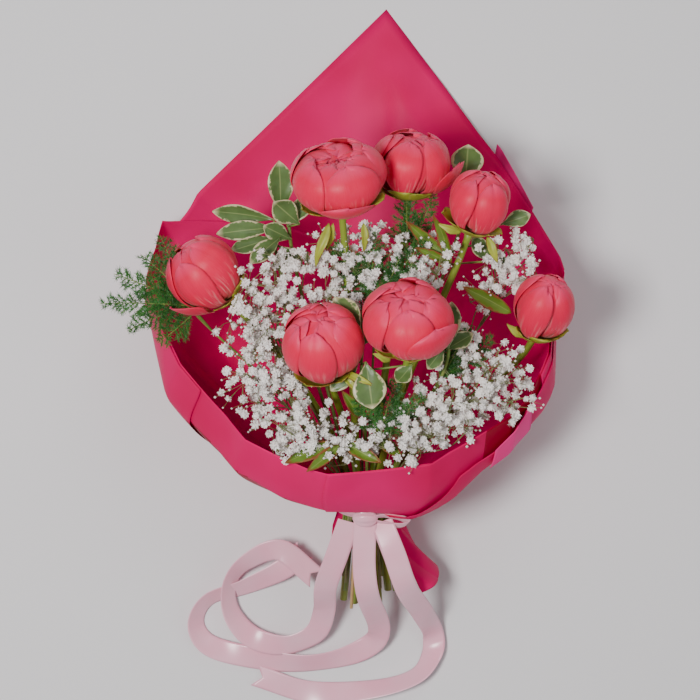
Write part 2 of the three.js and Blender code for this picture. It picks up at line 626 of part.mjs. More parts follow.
// ---- ribbon ----
const ringSides = 28;
const ringAt = (r, s) => Array.from({ length: ringSides }, (_, k) => {
  const a = (2 * Math.PI * k) / ringSides;
  return SIDE.clone().multiplyScalar(r * Math.sin(a)).addScaledVector(FRONT, r * Math.cos(a)).addScaledVector(AXIS, s);
});
function collar(r, width, t) {
  const [low, high] = [0.5, width];
  const loops = [ringAt(r, low), ringAt(r, high), ringAt(r + t, high), ringAt(r + t, low)];
  const points = loops.flat();
  const faces = [];
  loops.forEach((_, i) => {
    for (let k = 0; k < ringSides; k += 1) {
      const a = i * ringSides + k;
      const b = i * ringSides + ((k + 1) % ringSides);
      const c = ((i + 1) % 4) * ringSides + ((k + 1) % ringSides);
      const d = ((i + 1) % 4) * ringSides + k;
      faces.push([a, b, c], [a, c, d]);
    }
  });
  return solid(points, outward(points, faces));
}
add('ribbon_turns', collar(BAND_R, BAND_H, 1.6), 0xe8c0cc);

function band(path, face, width, t) {
  const rings = path.map((p, i) => {
    const a = path[Math.max(0, i - 1)];
    const b = path[Math.min(path.length - 1, i + 1)];
    const w = b.clone().sub(a).normalize();
    const u = face(i / (path.length - 1)).clone().cross(w).normalize();
    const n = w.clone().cross(u);
    return [[1, 1], [-1, 1], [-1, -1], [1, -1]].map(([x, y]) => p.clone()
      .addScaledVector(u, (x * width) / 2).addScaledVector(n, (y * t) / 2));
  });
  return ringed(path[0].clone(), rings, path[path.length - 1].clone());
}

const KNOT = FRONT.clone().multiplyScalar(BAND_R + 1.6 + GAP + 8).addScaledVector(AXIS, 6);
const knotBall = Manifold.sphere(1, 12).scale([15, 8, 7.6]).rotate([LEAN, 0, 0]).translate([KNOT.x, KNOT.y, KNOT.z]);
const bowPath = new THREE.CatmullRomCurve3([
  V(6, 0, 0), V(22, 4, 5), V(37, 3, 7), V(41, -4, 3), V(30, -9, 0), V(14, -6, 0), V(5, -2, 0),
].map((p) => KNOT.clone().addScaledVector(SIDE, p.x).addScaledVector(AXIS, p.y).addScaledVector(FRONT, p.z)));
const bow = band(bowPath.getPoints(20), () => AXIS.clone().addScaledVector(FRONT, 0.3), 14, RIBBON_T);
add('ribbon_knot', knotBall.add(bow), 0xe8c0cc);

// each tail leaves the knot, drops to the surface and wanders over it
const TAILS = [
  { name: 'ribbon_tail_right', start: RIBBON_W, pts: [[28, -50, 38], [40, -84, 24], [57, -112, -22], [68, -136, -64],
    [67, -158, -68], [50, -180, -69], [6, -193, -69], [-54, -196, -69], [-106, -180, -69]] },
  { name: 'ribbon_tail_middle', start: 0, pts: [[-1, -60, 30], [3, -92, 16], [14, -126, -38], [8, -146, -64],
    [-22, -161, -68], [-66, -167, -68], [-118, -160, -68], [-156, -148, -68], [-168, -126, -68], [-155, -103, -68],
    [-120, -91, -68], [-84, -74, -58], [-62, -55, -50]] },
  { name: 'ribbon_tail_left', start: -RIBBON_W, pts: [[-28, -54, 26], [-38, -84, 4], [-40, -112, -36], [-50, -136, -54],
    [-80, -148, -59], [-112, -140, -61], [-132, -116, -61], [-134, -88, -58], [-118, -66, -50], [-84, -52, -40],
    [-50, -78, -44]] },
];
TAILS.forEach((t) => {
  const from = KNOT.clone().addScaledVector(SIDE, t.start).addScaledVector(AXIS, -14).addScaledVector(FRONT, -3);
  const curve = new THREE.CatmullRomCurve3([from, ...t.pts.map(([x, y, z]) => V(x * WRAP_SIZE, y * WRAP_SIZE, z))]);
  const path = curve.getSpacedPoints(Math.round(curve.getLength() / 16));
  const face = (s) => FRONT.clone().lerp(V(0, 0, 1), smooth(clamp(s * 4, 0, 1)));
  add(t.name, band(path, face, RIBBON_W, RIBBON_T), 0xeccbd5);
});

// ---- group, with the origin under the middle of the resting footprint ----
const group = new THREE.Group();
group.name = 'bunch_of_peonies';
const box = new THREE.Box3();
const meshes = nodes.map(({ name, body, colour }) => {
  const { vertProperties, triVerts, numProp } = body.getMesh();
  const geometry = new THREE.BufferGeometry();
  const position = new Float32Array((vertProperties.length / numProp) * 3);
  for (let i = 0; i < position.length / 3; i += 1) {
    for (let k = 0; k < 3; k += 1) position[i * 3 + k] = vertProperties[i * numProp + k];
  }
  geometry.setAttribute('position', new THREE.BufferAttribute(position, 3));
  geometry.setIndex([...triVerts]);
  geometry.computeVertexNormals();
  geometry.computeBoundingBox();
  if (!name.startsWith('ribbon_tail')) box.union(geometry.boundingBox);
  const mesh = new THREE.Mesh(geometry, new THREE.MeshStandardMaterial({ color: colour, side: THREE.DoubleSide }));
  mesh.name = name;
  return mesh;
});
const middle = box.getCenter(V(0, 0, 0));
meshes.forEach((mesh) => {
  mesh.geometry.translate(-middle.x, -middle.y, -box.min.z);
  group.add(mesh);
});

export default group;
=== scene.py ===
import math
import random

import bpy
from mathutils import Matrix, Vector, noise


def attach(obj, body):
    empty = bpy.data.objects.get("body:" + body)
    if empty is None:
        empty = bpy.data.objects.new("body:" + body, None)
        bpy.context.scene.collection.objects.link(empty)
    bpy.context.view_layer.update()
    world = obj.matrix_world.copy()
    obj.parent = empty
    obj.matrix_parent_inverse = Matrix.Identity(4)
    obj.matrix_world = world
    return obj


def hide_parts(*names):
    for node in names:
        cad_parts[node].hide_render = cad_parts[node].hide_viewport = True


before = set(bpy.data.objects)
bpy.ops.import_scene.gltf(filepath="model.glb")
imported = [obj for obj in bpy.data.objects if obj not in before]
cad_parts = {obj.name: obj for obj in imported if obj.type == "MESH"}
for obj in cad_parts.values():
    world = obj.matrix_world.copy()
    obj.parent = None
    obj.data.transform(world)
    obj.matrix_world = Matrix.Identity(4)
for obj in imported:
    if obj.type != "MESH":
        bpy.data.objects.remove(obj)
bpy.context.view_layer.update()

# ---------------------------------------------------------------- places
# Lengths below are millimetres from the middle of the tie; +Y runs to the flower heads, +Z is up.
MM = 0.001
TIE = Vector((23.25, -187.7, 75.0))
FLOOR = -75.0
LEAN = math.radians(30)
FOOT_LEAN = math.radians(22)
AXIS = Vector((0, math.cos(LEAN), math.sin(LEAN)))
FRONT = Vector((0, -math.sin(LEAN), math.cos(LEAN)))
SIDE = Vector((1, 0, 0))
FOOT = Vector((0, -math.cos(FOOT_LEAN), -math.sin(FOOT_LEAN)))
UP = Vector((0, 0, 1))


def clamp(x, a=0.0, b=1.0):
    return min(b, max(a, x))


def mix(a, b, t):
    return a + (b - a) * t


def smooth(t):
    t = clamp(t)
    return t * t * (3 - 2 * t)


def in_frame(p):
    """A place in metres in the shared frame."""
    return (Vector(p) + TIE) * MM


def frame_of(direction):
    """Two sideways directions and the direction itself, all square to one another."""
    w = Vector(direction).normalized()
    h = SIDE if abs(w.dot(UP)) > 0.95 else UP
    u = h.cross(w).normalized()
    return u, w.cross(u), w


def catmull(points, t):
    """A point at t from 0 to 1 along a smooth curve through the points."""
    n = len(points) - 1
    x = clamp(t) * n
    i = min(int(x), n - 1)
    f = x - i
    p1, p2 = points[i], points[i + 1]
    p0 = points[i - 1] if i > 0 else p1 * 2 - p2
    p3 = points[i + 2] if i + 2 <= n else p2 * 2 - p1
    return 0.5 * (2 * p1 + (p2 - p0) * f + (2 * p0 - 5 * p1 + 4 * p2 - p3) * f * f
                  + (3 * p1 - p0 - 3 * p2 + p3) * f ** 3)


def bezier(a, b, c, d, t):
    """A point at t from 0 to 1 on the curve from a to d that leaves towards b and arrives from c."""
    s = 1 - t
    return a * s ** 3 + b * 3 * s * s * t + c * 3 * s * t * t + d * t ** 3


# ---------------------------------------------------------------- meshes
class Shape:
    """Collects faces in millimetres from the tie, with a UV place for each corner."""

    def __init__(self):
        self.points, self.faces, self.uvs, self.slots = [], [], [], []

    def verts(self, points):
        """Adds points and gives back their numbers."""
        first = len(self.points)
        self.points.extend(points)
        return list(range(first, len(self.points)))

    def face(self, corners, uvs, slot=0):
        self.faces.append(corners)
        self.uvs.extend(uvs)
        self.slots.append(slot)

    def grid(self, fn, nu, nv, slot=0, around=False):
        """A sheet of nu by nv faces, laid where fn(u, v) says and closed on itself where it goes around."""
        across = nu if around else nu + 1
        rows = [self.verts(fn(i / nu, j / nv) for i in range(across)) for j in range(nv + 1)]
        for j in range(nv):
            v0, v1 = j / nv, (j + 1) / nv
            for i in range(nu):
                u0, u1 = i / nu, (i + 1) / nu
                k = (i + 1) % across
                self.face([rows[j][i], rows[j][k], rows[j + 1][k], rows[j + 1][i]],
                          [(u0, v0), (u1, v0), (u1, v1), (u0, v1)], slot)

    def tube(self, path, radius, sides=8, slot=0, ends=True, end_slot=None):
        """A round stem along a path, with a face over each end."""
        last = len(path) - 1
        rings = []
        for i, p in enumerate(path):
            heading = path[min(i + 1, last)] - path[max(i - 1, 0)]
            u, v, _ = frame_of(heading)
            r = radius(i / last) if callable(radius) else radius
            rings.append(self.verts(p + u * (r * math.cos(2 * math.pi * k / sides))
                                    + v * (r * math.sin(2 * math.pi * k / sides)) for k in range(sides)))
        for j in range(last):
            v0, v1 = j / last, (j + 1) / last
            for k in range(sides):
                m = (k + 1) % sides
                u0, u1 = k / sides, (k + 1) / sides
                self.face([rings[j][k], rings[j][m], rings[j + 1][m], rings[j + 1][k]],
                          [(u0, v0), (u1, v0), (u1, v1), (u0, v1)], slot)
        if ends:
            cap = slot if end_slot is None else end_slot
            self.face(rings[0][::-1], [(0.5, 0.5)] * sides, cap)
            self.face(rings[last], [(0.5, 0.5)] * sides, cap)

    def piece(self, name, materials):
        mesh = bpy.data.meshes.new(name)
        mesh.from_pydata([in_frame(p) for p in self.points], [], self.faces)
        uv = mesh.uv_layers.new(name="UVMap")
        uv.data.foreach_set("uv", [c for corner in self.uvs for c in corner])
        for m in materials:
            mesh.materials.append(m)
        mesh.polygons.foreach_set("material_index", self.slots)
        mesh.polygons.foreach_set("use_smooth", [True] * len(self.faces))
        mesh.update()
        obj = bpy.data.objects.new(name, mesh)
        bpy.context.scene.collection.objects.link(obj)
        return obj


def thicken(obj, thickness):
    """Gives a sheet its thickness in millimetres, half on each side."""
    m = obj.modifiers.new("thickness", "SOLIDIFY")
    m.thickness = thickness * MM
    m.offset = 0.0


def finish_piece(obj, nodes):
    """Hangs the piece under the root body and hides the solids it stands for."""
    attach(obj, "root")
    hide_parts(*nodes)


# ---------------------------------------------------------------- materials
def srgb(code):
    """A linear colour from a hex value."""
    out = []
    for i in (1, 3, 5):
        c = int(code[i:i + 2], 16) / 255
        out.append(c / 12.92 if c <= 0.04045 else ((c + 0.055) / 1.055) ** 2.4)
    return (*out, 1.0)


class Look:
    """A node material: a Principled surface fed by small named steps."""

    def __init__(self, name, roughness=0.5, specular=0.5):
        self.mat = bpy.data.materials.new(name)
        self.mat.use_nodes = True
        self.tree = self.mat.node_tree
        self.bsdf = self.tree.nodes["Principled BSDF"]
        self.bsdf.inputs["Roughness"].default_value = roughness
        self.bsdf.inputs["Specular IOR Level"].default_value = specular

    def node(self, kind, **values):
        n = self.tree.nodes.new(kind)
        for key, value in values.items():
            setattr(n, key, value)
        return n

    def link(self, a, b):
        self.tree.links.new(a, b)

    def uv(self):
        sep = self.node("ShaderNodeSeparateXYZ")
        self.link(self.node("ShaderNodeUVMap").outputs["UV"], sep.inputs[0])
        return sep.outputs["X"], sep.outputs["Y"]

    def noise(self, scale, detail=3.0, vector=None, stretch=None):
        n = self.node("ShaderNodeTexNoise")
        n.inputs["Scale"].default_value = scale
        n.inputs["Detail"].default_value = detail
        source = vector or self.node("ShaderNodeTexCoord").outputs["Object"]
        if stretch:
            m = self.node("ShaderNodeMapping")
            m.inputs["Scale"].default_value = stretch
            self.link(source, m.inputs["Vector"])
            source = m.outputs["Vector"]
        self.link(source, n.inputs["Vector"])
        return n.outputs["Fac"]

    def ramp(self, value, stops):
        r = self.node("ShaderNodeValToRGB")
        ramp = r.color_ramp
        while len(ramp.elements) < len(stops):
            ramp.elements.new(0.5)
        for element, (place, colour) in zip(ramp.elements, stops):
            element.position = place
            element.color = colour if not isinstance(colour, (int, float)) else (colour,) * 3 + (1,)
        self.link(value, r.inputs["Fac"])
        return r.outputs["Color"]

    def math(self, operation, a, b=None):
        m = self.node("ShaderNodeMath", operation=operation)
        for socket, value in zip(m.inputs, (a, b)):
            if value is None:
                continue
            if isinstance(value, (int, float)):
                socket.default_value = value
            else:
                self.link(value, socket)
        return m.outputs[0]

    def blend(self, factor, a, b, mode="MIX"):
        m = self.node("ShaderNodeMix", data_type="RGBA", blend_type=mode)
        for socket, value in ((m.inputs[0], factor), (m.inputs[6], a), (m.inputs[7], b)):
            if isinstance(value, (int, float, tuple)):
                socket.default_value = value
            else:
                self.link(value, socket)
        return m.outputs[2]

    def colour(self, value):
        if isinstance(value, tuple):
            self.bsdf.inputs["Base Color"].default_value = value
        else:
            self.link(value, self.bsdf.inputs["Base Color"])

    def bump(self, height, strength, distance=0.0005):
        b = self.node("ShaderNodeBump")
        b.inputs["Strength"].default_value = strength
        b.inputs["Distance"].default_value = distance
        self.link(height, b.inputs["Height"])
        self.link(b.outputs["Normal"], self.bsdf.inputs["Normal"])

    def glow_through(self, share, colour):
        """Light that passes through a thin leaf, petal or film."""
        t = self.node("ShaderNodeBsdfTranslucent")
        if isinstance(colour, tuple):
            t.inputs["Color"].default_value = colour
        else:
            self.link(colour, t.inputs["Color"])
        m = self.node("ShaderNodeMixShader")
        m.inputs[0].default_value = share
        out = self.tree.nodes["Material Output"]
        self.link(self.bsdf.outputs[0], m.inputs[1])
        self.link(t.outputs[0], m.inputs[2])
        self.link(m.outputs[0], out.inputs["Surface"])


def petal_look():
    """Fresh peony petal: coral, cream streaks at the foot, fine veins along its length."""
    k = Look("peony_petal", roughness=0.38, specular=0.22)
    u, v = k.uv()
    wide = k.node("ShaderNodeCombineXYZ")
    k.link(k.math("MULTIPLY", u, 9.0), wide.inputs[0])
    k.link(k.math("MULTIPLY", v, 1.3), wide.inputs[1])
    place = k.node("ShaderNodeTexCoord").outputs["Object"]
    both = k.node("ShaderNodeVectorMath", operation="ADD")
    scaled = k.node("ShaderNodeVectorMath", operation="SCALE")
    scaled.inputs["Scale"].default_value = 14.0
    k.link(place, scaled.inputs[0])
    k.link(wide.outputs[0], both.inputs[0])
    k.link(scaled.outputs[0], both.inputs[1])
    streak = k.noise(1.6, 4.0, both.outputs[0])
    veins = k.noise(7.0, 2.0, both.outputs[0], (3.0, 0.5, 1.0))
    body = k.ramp(v, [(0.0, srgb("#F2C88E")), (0.14, srgb("#FF5A60")), (0.4, srgb("#F40C4C")),
                      (0.82, srgb("#F00848")), (1.0, srgb("#FF4278"))])
    pale = k.ramp(streak, [(0.53, 0.0), (0.68, 1.0)])
    low = k.ramp(v, [(0.1, 1.0), (0.62, 0.0)])
    amount = k.blend(1.0, pale, low, "MULTIPLY")
    marked = k.blend(amount, body, srgb("#FFCCC4"))
    lined = k.blend(0.14, marked, k.ramp(veins, [(0.3, srgb("#D80A3C")), (0.7, srgb("#FF5C80"))]))
    k.colour(lined)
    k.bump(veins, 0.25)
    k.bsdf.inputs["Subsurface Weight"].default_value = 0.08
    k.bsdf.inputs["Subsurface Radius"].default_value = (0.004, 0.0015, 0.001)
    k.bsdf.inputs["Subsurface Scale"].default_value = 1.0
    k.bsdf.inputs["Sheen Weight"].default_value = 0.08
    k.glow_through(0.14, lined)
    return k.mat


def leaf_look(name, middle, margin, edge, vein, roughness=0.45):
    """A leaf with a margin of its own colour and a paler midrib."""
    k = Look(name, roughness=roughness, specular=0.45)
    u, v = k.uv()
    off = k.math("ABSOLUTE", k.math("SUBTRACT", k.math("MULTIPLY", u, 2.0), 1.0))
    rough = k.noise(210.0, 3.0)
    rim = k.math("ADD", off, k.math("MULTIPLY", k.math("SUBTRACT", rough, 0.5), 0.9))
    tip = k.math("MAXIMUM", rim, k.math("SUBTRACT", k.math("MULTIPLY", v, 1.15), 0.2))
    mask = k.ramp(tip, [(edge - 0.05, 0.0), (edge + 0.05, 1.0)])
    paler = tuple(c * 1.35 for c in srgb(middle)[:3]) + (1,)
    patch = k.ramp(k.noise(90.0, 2.0), [(0.3, srgb(middle)), (0.7, paler)])
    both = k.blend(mask, patch, srgb(margin))
    rib = k.ramp(off, [(0.02, 1.0), (0.07, 0.0)])
    lined = k.blend(k.math("MULTIPLY", rib, 0.5), both, srgb(vein))
    k.colour(lined)
    k.bump(k.noise(260.0, 2.0), 0.25)
    k.glow_through(0.15, lined)
    return k.mat


def plain_look(name, colour, other, scale, roughness, specular, stretch=None, bump=0.2, glow=None):
    """Two close tones in a fine grain, for stems, twigs, needles, florets and wood."""
    k = Look(name, roughness=roughness, specular=specular)
    grain = k.noise(scale, 3.0, None, stretch)
    k.colour(k.ramp(grain, [(0.3, srgb(colour)), (0.7, srgb(other))]))
    if bump:
        k.bump(grain, bump)
    if glow:
        k.glow_through(0.25, srgb(glow))
    return k.mat


def film_look(name, colour, shade):
    """Coloured wrapping film: smooth plastic with a soft sheen that lets some light through."""
    k = Look(name, roughness=0.4, specular=0.07)
    drift = k.noise(9.0, 2.0)
    tone = k.ramp(drift, [(0.35, srgb(shade)), (0.65, srgb(colour))])
    k.colour(tone)
    k.bump(k.noise(30.0, 3.0), 0.1, 0.002)
    k.glow_through(0.08, tone)
    return k.mat


def satin_look():
    """Pale pink polyester satin: smooth, with a soft shine that runs one way."""
    k = Look("satin_ribbon", roughness=0.26, specular=0.6)
    k.colour(k.ramp(k.noise(26.0, 2.0), [(0.3, srgb("#FFB4CC")), (0.7, srgb("#FFC6D8"))]))
    k.bsdf.inputs["Sheen Weight"].default_value = 0.25
    k.bsdf.inputs["Anisotropic"].default_value = 0.5
    k.glow_through(0.12, srgb("#F8DCE4"))
    return k.mat


# petals are silky; leaves and sepals waxy, with a margin; stems waxy; cut ends, twigs and wood dull;
# film glossy but lightly crumpled; satin ribbon smooth
PETAL = petal_look()
SEPAL = leaf_look("peony_sepal", "#9AA238", "#8E5E2C", edge=0.98, vein="#BDB858")
PEONY_LEAF = leaf_look("peony_leaf", "#5F7A26", "#8A5228", edge=0.8, vein="#A8B060")
PITTO = leaf_look("pittosporum_leaf", "#56703E", "#CFC89C", edge=0.86, vein="#A9B878", roughness=0.34)
STEM = plain_look("peony_stem", "#6E8426", "#8FA03C", 90.0, 0.42, 0.45, (1, 0.2, 0.2))
CUT = plain_look("cut_stem_end", "#C9C68A", "#E4DFB2", 300.0, 0.7, 0.2)
THIN = plain_look("thin_green_stem", "#5C7A34", "#86964E", 90.0, 0.5, 0.3)
TWIG = plain_look("gypsophila_twig", "#6C7A48", "#8C8E62", 90.0, 0.6, 0.3)
NEEDLE = plain_look("fern_needle", "#184A12", "#34742A", 60.0, 0.5, 0.35, None, 0.0)
WOOD = plain_look("raw_wood", "#C39A62", "#DDBB86", 60.0, 0.6, 0.3, (1, 0.1, 0.1))
WHITE = plain_look("gypsophila_floret", "#FFFBF8", "#FFFFFF", 150.0, 0.6, 0.25, None, 0.0, "#FFF6EE")
FILM = film_look("pink_film", "#E8006C", "#D20056")
# painted light: a lighter pink copy of the film for its turned-over corners
FILM_PAINTED_LIGHT = film_look("pink_film_painted_light", "#FF3C98", "#FA2C88")
# painted shade: a darker red copy of the film for the faces under the folds
FILM_PAINTED_SHADE = film_look("pink_film_in_shade", "#B00034", "#9A002A")
RIBBON = satin_look()

# thickness of each kind of sheet, in millimetres
FILM_T = 0.25
PETAL_T = 0.45
SEPAL_T = 0.7
LEAF_T = 0.5
RIBBON_T = 0.25

# ---------------------------------------------------------------- film
# angle round the stems (0 front, 90 right, 180 back), then the points the rib runs through
RIBS = [
    (-180, (5, 75, -53), (15, 205, -71), (20, 345, -73), (22, 486, -73)),
    (-150, (-28, 72, -48), (-78, 195, -69), (-128, 272, -70), (-164, 300, -52)),
    (-130, (-54, 62, -36), (-122, 165, -46), (-176, 240, -34), (-196, 272, -18)),
    (-100, (-62, 40, -17), (-140, 110, -10), (-198, 178, 13), (-206, 214, 43)),
    (-70, (-58, 18, 3), (-125, 60, 22), (-170, 100, 46), (-172, 132, 84)),
    (-40, (-42, 8, 30), (-86, 12, 42), (-118, 34, 70), (-112, 62, 108)),
    (-10, (-17, 4, 44), (-30, 0, 60), (-39, 10, 90), (-35, 33, 125)),
    (10, (20, 4, 44), (39, 2, 60), (56, 14, 90), (60, 40, 125)),
    (40, (43, 12, 30), (85, 22, 42), (124, 54, 70), (135, 88, 108)),
    (70, (54, 28, 3), (115, 68, 23), (158, 105, 46), (170, 143, 84)),
    (100, (60, 50, -17), (126, 110, -9), (173, 168, 13), (184, 208, 43)),
    (130, (52, 66, -36), (114, 150, -46), (162, 210, -28), (186, 236, -4)),
    (150, (38, 75, -48), (80, 186, -69), (115, 270, -70), (134, 346, -62)),
    (180, (5, 75, -53), (15, 205, -71), (20, 345, -73), (22, 486, -73)),
]
WAIST_R = 25.04
LAYER_STEP = 1.1
LAYERS_OF_FILM = 5
LYING_STEP = 0.6
HEM = 0.9
HEM_RISE = 13
SKIRT_REACH = 80
SKIRT_WIDEST_AT = 85


def round_stems(angle):
    """The direction out from the stems at an angle."""
    a = math.radians(angle)
    return SIDE * math.sin(a) + FRONT * math.cos(a)


def rib_point(index, s):
    """A point on one rib: s is 0 at the tie and 1 at the rim."""
    angle, *points = RIBS[index]
    waist = round_stems(angle) * WAIST_R - AXIS
    return catmull([waist, waist + AXIS * 15, *[Vector(p) for p in points]], s)


def wrap_point(angle, s):
    """A point on the wrap between its ribs, flat between them towards the rim."""
    a = (angle + 180) % 360 - 180
    k = 0
    while k + 2 < len(RIBS) and RIBS[k + 1][0] < a:
        k += 1
    t = (a - RIBS[k][0]) / (RIBS[k + 1][0] - RIBS[k][0])
    count = len(RIBS) - 1
    near = [rib_point(i, s) for i in ((k - 1) % count, k, k + 1, (k + 2) % count)]
    crisp = 1.0 if abs(a) >= 130 else 0.75
    return catmull(near, (1 + t) / 3).lerp(near[1].lerp(near[2], t), crisp * smooth((s - 0.2) / 0.35))


def tail_point(angle, s):
    """The film's short tail under the tie, which flares widest on the right."""
    flare = 16 + 30 * math.exp(-(((angle - SKIRT_WIDEST_AT) / 42) ** 2))
    return round_stems(angle) * (WAIST_R + flare * s ** 1.5) - AXIS + FOOT * (SKIRT_REACH * s)


def film_point(angle, s, layer):
    """The wrap at an angle; s is -1 at the tail under the tie, 0 at the tie and 1 at the rim."""
    def place(a, t):
        return tail_point(a, -t) if t < 0 else wrap_point(a, t)
    turn, step = 5, 0.06
    p = place(angle, s)
    du = place(angle + turn, s) - place(angle - turn, s)
    dv = place(angle, min(s + step, 1)) - place(angle, s - step)
    n = du.cross(dv).normalized()
    if n.dot(p - AXIS * (60 * max(s, 0) - 1)) < 0:
        n = -n
    return p + n * (layer * LAYER_STEP), n


def zigzag(x):
    """A fold line: rises and falls in straight slopes between -1 and 1."""
    return abs((x % 2) - 1) * 2 - 1


def along(*stops):
    """Straight slopes through (angle, value) stops."""
    def value(angle):
        for (a, x), (b, y) in zip(stops, stops[1:]):
            if angle <= b:
                return mix(x, y, clamp((angle - a) / (b - a)))
        return stops[-1][1]
    return value


RIDGE = along((-130, 0.86), (-70, 0.84), (-40, 0.82), (-8, 0.7), (6, 0.56),
              (24, 0.76), (50, 0.86), (120, 0.88))


def folds(angle, s, seed):
    """The film's creases: gathers at the tie, long folds, slanting pulls and a ridge below the rim."""
    a = (angle + 180) % 360 - 180
    front = smooth((150 - abs(a)) / 40)
    gather = zigzag(a / 6.1) * math.exp(-abs(s) * 6) * 1.6
    long = zigzag(a / 23 + 0.7 + 0.5 * s) * math.sin(math.pi * clamp(s, 0, 1)) ** 0.6 * 3.6
    slant = zigzag(a / 33 + s * 2.1 + 0.4) * clamp(s * 2) * 3.0
    top = RIDGE(a)
    slope = (1 - s) / (1 - top) if s > top else 1 - (top - s) / 0.28
    ridge = clamp(slope) * 9.0 if s > 0 else 0.0
    flop = zigzag(a / 14 + 3 * s) * clamp(-s * 3) * 1.8
    soft = noise.noise(Vector((a * 0.03, s * 2.2, seed * 0.12))) * clamp(s * 3) * 1.6
    return gather + (long + slant + ridge) * mix(0.25, 1, front) + flop + soft


def hem_lift(angle, s):
    """The back sheet's right border is folded over, so the film stands up along the fold line."""
    a = angle % 360
    share = smooth((188 - a) / 14) * smooth((a - 118) / 12)
    rise = (1 - s) / (1 - HEM) if s > HEM else (s - 0.55) / (HEM - 0.55)
    return HEM_RISE * share * clamp(rise)


# the film's looks: slot 0 is its own colour, slot 1 a painted-light copy, slot 2 a painted-shade copy
PAINTED_LIGHT_SLOT = 1
SHADE_SLOT = 2


def in_shade(angle, s, layer):
    """True under the ridge at the front left and on the turned rim at the front right."""
    under_ridge = -62 < angle < -3 and s < RIDGE(angle)
    turned_rim = 30 < angle < 60 and layer < 4 and s > RIDGE(angle)
    return under_ridge or turned_rim


def film_area(shape, start, stop, layer, seed, low=0.0, rim=None, nu=110, nv=84, slot=0, hem=False):
    """Film between two angles, from s = low up to its rim."""
    lowest = FLOOR + 0.2 + (LAYERS_OF_FILM - 1 - layer) * LYING_STEP

    def place(u, v):
        angle = mix(start, stop, u)
        return angle, mix(low, rim(angle) if rim else 1.0, v)

    def fn(u, v):
        angle, s = place(u, v)
        p, n = film_point(angle, s, layer)
        p = p + n * folds(angle, s, seed)
        p.z = max(p.z, lowest)
        if hem:
            p.z += hem_lift(angle, s)
        return p
    first = len(shape.faces)
    shape.grid(fn, nu, nv, slot)
    for k in range(nu * nv):
        column, row = k % nu, k // nu
        # faces where the folds' shade falls get the painted-shade copy
        if slot == 0 and in_shade(*place((column + 0.5) / nu, (row + 0.5) / nv), layer):
            shape.slots[first + k] = SHADE_SLOT


# name, start and stop angle, layer from the inside, seed, where it starts, how far up its rim is
SHEETS = [
    ("film_front_left", -80, 10, 0, 1.3, 0.0, None),
    ("film_front_right", -10, 80, 1, 1.5, 0.0, None),
    ("film_left_wing", -170, -60, 2, 1.9, 0.0, along((-170, 0.66), (-150, 0.8), (-130, 1.0), (-60, 1.0))),
    ("film_right_wing", 60, 170, 3, 2.2, -1.0, along((60, 1.0), (132, 1.0), (150, 0.84), (170, 0.6))),
    ("film_back", 120, 240, 4, 2.4, -1.0,
     along((120, 1.0), (130, 1.0), (148, 0.97), (165, 0.99), (180, 1.0), (210, 1.0), (230, 0.9),
           (240, 0.88))),
    ("film_front_band", 0, 90, 4, 2.6, 0.0,
     along((0, 0.4), (9, 0.66), (20, 0.86), (36, 0.87), (47, 0.96), (90, 0.96))),
]
for name, start, stop, layer, seed, low, rim in SHEETS:
    shape = Shape()
    film_area(shape, start, stop, layer, seed, low, rim, hem=name == "film_back")
    if name == "film_front_band":
        corner_rim = along((33, 0.89), (49, 0.99))
        # the turned-over corner gets painted light: the lighter pink copy of the film
        film_area(shape, 33, 49, layer + 2.5, seed, 0.8, corner_rim, 16, 16, PAINTED_LIGHT_SLOT)
    if name == "film_back":
        # a strip of painted light along the back sheet's turned rim
        film_area(shape, 139, 151, layer, seed, 0.93, None, 16, 16, PAINTED_LIGHT_SLOT)
    film = shape.piece(name + "_sheet", [FILM, FILM_PAINTED_LIGHT, FILM_PAINTED_SHADE])
    thicken(film, FILM_T)
    finish_piece(film, [name])

# ---------------------------------------------------------------- blooms
PEONIES = [
    dict(head=(-25, 302, 143), face=(-0.08, 0.8, 0.6), r=43, h=30, dent=0.24),
    dict(head=(42, 318, 90), face=(0.06, 0.88, 0.46), r=36, h=31, dent=0.06),
    dict(head=(104, 280, 125), face=(0.24, 0.78, 0.58), r=28, h=30, dent=0.0),
    dict(head=(-150, 216, 93), face=(-0.62, 0.66, 0.42), r=33, h=35, dent=0.02),
    dict(head=(-39, 151, 156), face=(-0.12, 0.66, 0.74), r=36, h=36, dent=0.03),
    dict(head=(37, 172, 176), face=(-0.02, 0.7, 0.71), r=40, h=31, dent=0.06),
    dict(head=(165, 184, 97), face=(0.2, 0.72, 0.66), r=27, h=34, dent=0.0),
]
# petals of each bloom in layers from outside in:
# count, how near the tip they reach, half-width, lift, flare, turn
LAYERS = {
    "open": [(5, 0.66, 0.66, -1.8, 3.0, 0.2), (5, 0.42, 0.6, -4.4, 2.6, 0.85), (5, 0.32, 0.5, -6.6, 2.4, 0.4),
             (4, 0.2, 0.4, -8.4, 2.6, 1.1), (4, 0.02, 0.3, -9.6, 3.0, 0.2)],
    "half": [(5, 0.5, 0.6, -1.8, 1.8, 0.3), (4, 0.2, 0.66, -4.6, 1.9, 1.1), (3, -0.1, 0.6, -6.8, 1.6, 0.5),
             (3, -0.3, 0.5, -8.4, 0.8, 0.0)],
    "bud": [(4, 0.4, 0.7, -1.6, 1.2, 0.3), (3, 0.02, 0.78, -3.8, 1.1, 1.3), (3, -0.25, 0.7, -5.6, 0.5, 0.6)],
}
KINDS = ["open", "half", "bud", "half", "half", "half", "bud"]


